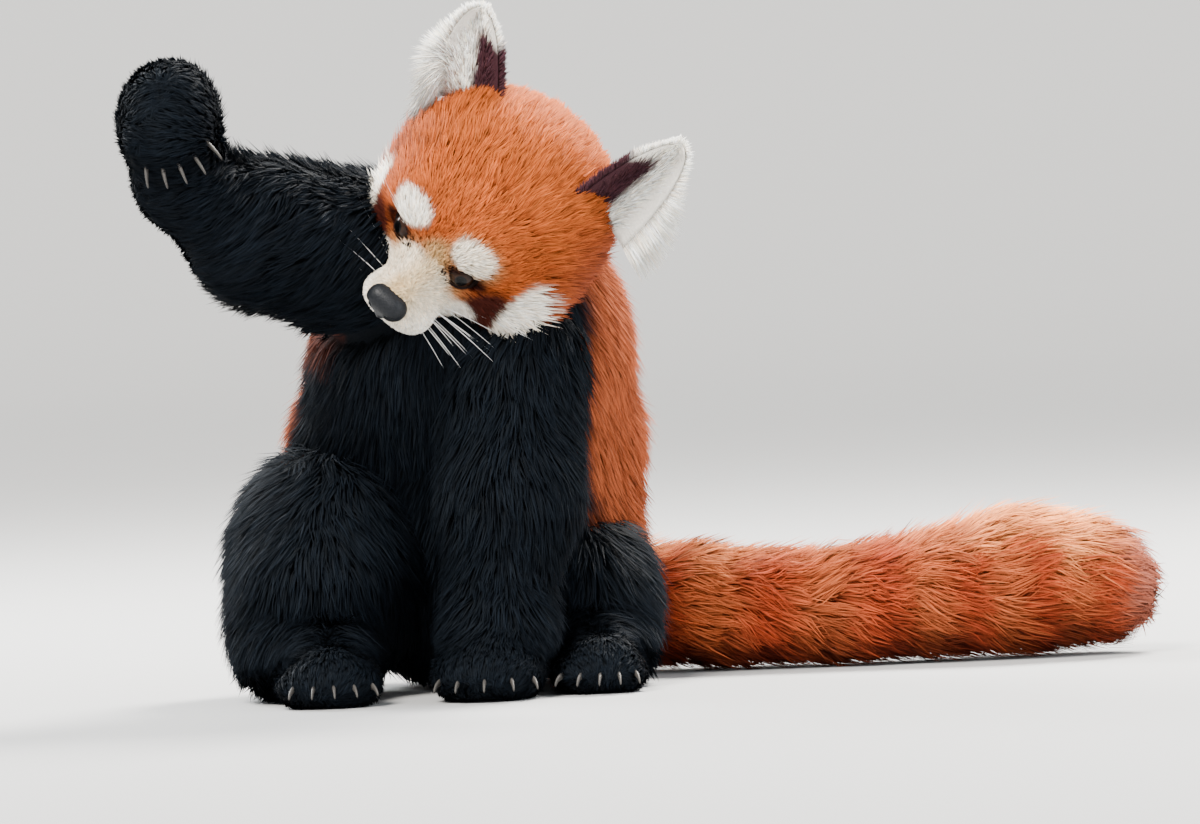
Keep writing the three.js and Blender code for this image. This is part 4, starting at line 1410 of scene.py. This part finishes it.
def hair_tube(bend):
    """One whisker, one unit long along +Y, with its bend towards -Z."""

    def place(t, a):
        r = 0.5 * (1 - 0.8 * t)
        return r * math.cos(a), t, -bend * t * t + 0.008 * r * math.sin(a)

    return spike(5, 9, place, (0, 1, -bend))


class PANDA_OT_whiskers(Operator):
    """Long white whiskers on both sides of the muzzle, and a few over the eyes"""

    bl_idname = "panda.whiskers"
    bl_label = "Whiskers"

    def execute(self, context):
        sizes = context.scene.panda_parts
        draw = np.random.default_rng(5)
        spots, lies, outs, lengths = [], [], [], []
        for s in (1, -1):
            for row in range(3):
                for k in range(4):
                    start = in_head(0, 66 - 4 * k, -20 - 4 * row)
                    way = head_way(s, 0.12 - 0.1 * k, -0.10 - 0.16 * row)
                    spots.append(reach_out(head_surface, start, way))
                    way = head_way(s, 0.3 - 0.15 * k, 0.38 - 0.16 * row)
                    lies.append(unit(way + draw.normal(0, 0.09, 3)))
                    outs.append(head_way(0, 0.4, 1))
                    lengths.append(sizes.whisker_length * (0.55 + 0.1 * k) * draw.uniform(0.75, 1.05))
            for k in range(3):
                spots.append(settle(head_surface, in_head(s * (19 + 5 * k), 52 - 2 * k, 16)[None])[0])
                lies.append(head_way(s * (0.3 + 0.2 * k), 0.5, 0.8))
                outs.append(head_way(0, 1, -0.2))
                lengths.append(0.022)
        size = [[sizes.whisker_thickness, length, length] for length in lengths]
        material, tree, shader = new_material("Whisker", Roughness=0.35)
        wire(tree, shader, {"Base Color": grain(tree, low=0.75, high=0.95)["Brightness"]})
        hairs = [hair_tube(bend) for bend in (0.06, 0.14, 0.2)]
        whiskers = set_in_place("Whiskers", hairs, material, 4, spots, lies, outs, size)
        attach(whiskers, "root")
        return {"FINISHED"}


class PANDA_OT_ear_fringe(Operator):
    """Short white hair in and round the ears, with a longer fringe on the outer rim"""

    bl_idname = "panda.ear_fringe"
    bl_label = "Ear fringe"

    def execute(self, context):
        coat = context.scene.panda_coat
        tufts = blades(SHORT_BLADE)
        share = blade_share(SHORT_BLADE)
        for k, (side_name, ear) in enumerate(EARS.items()):
            points, quads, _, v, w, back = ear_mesh(ear, 30, 24)
            _, up, side, front = ear_frame(ear)
            surface = new_mesh("Ear_ground", metres(points), quads)
            outer = ear["s"] * w
            facing = np.where(back > 0.5, -1.0, 1.0)
            spill = 0.8 * w * np.where(back > 0.5, 1, -0.4)
            normal = unit(spread(facing, front) + spread(spill, side))
            way = spread(0.7 + 0.5 * v, up) + spread(0.8 * w * (np.abs(w) > 0.3), side)
            way = unit(way + spread(0.25 * (1 - back), front))
            fringe = step(0.35, 0.9, outer) * step(0.75, 0.2, v)
            way = unit(way + spread(1.6 * fringe, v3(0.1, -0.1, -0.9)))
            length = 8 + 13 * fringe + 2 * (1 - back) - 4 * step(0.6, 0.95, v)
            width = np.full(len(v), 0.9)
            lies = unit(way - (way * normal).sum(-1, keepdims=True) * normal * 0.8)
            rise = 0.12 + 0.3 * step(0.6, 1.0, outer) * (1 - v)
            set_growth(surface, lies, normal, rise, np.stack([width, length, width], -1) * MM)
            attribute(surface, "thickness", 1 + 1.5 * fringe)
            area = sum(polygon.area for polygon in surface.data.polygons) * (1 + 1.5 * fringe.mean())
            obj = grow_tufts("Coat_ear_" + side_name, surface, tufts, 9.0, area, 0.16, coat.seed + 40 + k)
            root = vertices(obj).reshape(-1, len(share), 3)[:, 0] / MM + SEAT
            bake_map(obj, "head", share, root)
            nearest = nearest_of(root, points)
            pale = ear_colours(ear, v[nearest], w[nearest], back[nearest])
            clumps = nearest_of(root, root[::6])
            colour_tufts(obj, (pale * 0.92, pale), share, clumps, coat.seed + 140 + k)
            drop(surface)
            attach(obj, "root")
        discard(tufts)
        return {"FINISHED"}


# The camera, in degrees and metres, and the points that it and the lights look at
ROLL = 2.5
ELEVATION = 2.0
CAMERA_DISTANCE = 6.0
LOOK_AT = metres((106.2, 0, 169))
FRAME_WIDTH = 0.744
SENSOR_WIDTH = 36
LIT_PLACE = v3(0.08, -0.05, 0.2)
# Round lights: name, place, size, power and colour
LAMPS = (
    ("Fill", (1.8, -1.4, 0.9), 1.8, 45, (0.93, 0.97, 1.0)),
    ("Rim", (1.0, 1.1, 1.9), 0.9, 300, (1.0, 0.96, 0.9)),
    ("Rim left", (-1.3, 1.1, 1.3), 0.9, 120, (0.97, 0.99, 1.0)),
)


class PANDA_OT_stage(Operator):
    """Pale floor, soft studio light and the camera"""

    bl_idname = "panda.stage"
    bl_label = "Stage"

    def execute(self, context):
        scene = context.scene
        half, near, far, height, bend = 9.0, -9.0, 8.0, 7.0, 2.5
        profile = [(near, 0.0)]
        for i in range(13):
            a = math.pi / 2 * i / 12
            profile.append((far - bend + bend * math.sin(a), bend - bend * math.cos(a)))
        profile.append((far, height))
        points = [(x, y, z) for y, z in profile for x in (-half, half)]
        faces = [(2 * i, 2 * i + 1, 2 * i + 3, 2 * i + 2) for i in range(len(profile) - 1)]
        floor = new_mesh("Studio_floor", points, faces)
        material, tree, shader = new_material("Studio floor", Roughness=0.8)
        base = list(scene.panda_parts.floor)
        place = add(tree, "ShaderNodeTexCoord", {})["Object"]
        noise = add(tree, "ShaderNodeTexNoise", {"Scale": 3, "Vector": place})["Fac"]
        grade(tree, shader, noise, ((0.0, [c * 0.98 for c in base]), (1.0, base)))
        floor.data.materials.append(material)

        world = bpy.data.worlds.new("Studio")
        world.use_nodes = True
        sky = {"Color": (0.93, 0.96, 1.0, 1), "Strength": 1.0}
        wire(world.node_tree, world.node_tree.nodes["Background"], sky)
        scene.world = world
        for name, place, size, power, colour in LAMPS:
            data = bpy.data.lights.new(name, "AREA")
            data.shape, data.size, data.energy, data.color = "DISK", size, power, colour
            lamp(name, data, LIT_PLACE - np.array(place)).location = place
        data = bpy.data.lights.new("Key", "SUN")
        data.energy, data.angle, data.color = 9.0, math.radians(24), (1.0, 0.96, 0.9)
        lamp("Key", data, (0.9, 1.5, -2.0))

        data = bpy.data.cameras.new("Camera")
        camera = bpy.data.objects.new("Camera", data)
        scene.collection.objects.link(camera)
        data.sensor_width = SENSOR_WIDTH
        data.lens = SENSOR_WIDTH * CAMERA_DISTANCE / FRAME_WIDTH
        data.clip_start, data.clip_end = 0.1, 50
        camera.matrix_world = camera_matrix()
        scene.camera = camera
        return {"FINISHED"}


def lamp(name, data, way):
    """An object for a light, turned to shine along a way."""
    light = bpy.data.objects.new(name, data)
    light.rotation_euler = Vector(way).to_track_quat("-Z", "Y").to_euler()
    bpy.context.scene.collection.objects.link(light)
    return light


def camera_matrix():
    e, r = math.radians(ELEVATION), math.radians(ROLL)
    back = v3(0, -math.cos(e), math.sin(e))
    right0, up0 = v3(1, 0, 0), v3(0, math.sin(e), math.cos(e))
    right = right0 * math.cos(r) - up0 * math.sin(r)
    up = right0 * math.sin(r) + up0 * math.cos(r)
    at = LOOK_AT + back * CAMERA_DISTANCE
    return Matrix([[right[i], up[i], back[i], at[i]] for i in range(3)] + [[0, 0, 0, 1]])


class PANDA_PT_panel(Panel):
    """The parts of the model, in the order that they are built"""

    bl_label = "Red Panda"
    bl_idname = "PANDA_PT_panel"
    bl_space_type = "VIEW_3D"
    bl_region_type = "UI"
    bl_category = "Red Panda"

    def draw(self, context):
        for group in (context.scene.panda_parts, context.scene.panda_coat):
            box = self.layout.box()
            for name in group.__annotations__:
                box.prop(group, name)
        for operator in OPERATORS:
            self.layout.operator(operator.bl_idname)


OPERATORS = [
    PANDA_OT_stage,
    PANDA_OT_skin,
    PANDA_OT_coat,
    PANDA_OT_ear_fringe,
    PANDA_OT_eyes,
    PANDA_OT_nose,
    PANDA_OT_claws,
    PANDA_OT_whiskers,
]
CLASSES = [PandaCoat, PandaParts, *OPERATORS, PANDA_PT_panel]


def register():
    for cls in CLASSES:
        bpy.utils.register_class(cls)
    bpy.types.Scene.panda_coat = PointerProperty(type=PandaCoat)
    bpy.types.Scene.panda_parts = PointerProperty(type=PandaParts)


def unregister():
    del bpy.types.Scene.panda_parts
    del bpy.types.Scene.panda_coat
    for cls in reversed(CLASSES):
        bpy.utils.unregister_class(cls)


def main():
    register()
    for operator in OPERATORS:
        group, name = operator.bl_idname.split(".")
        getattr(getattr(bpy.ops, group), name)()


if __name__ == "__main__":
    main()
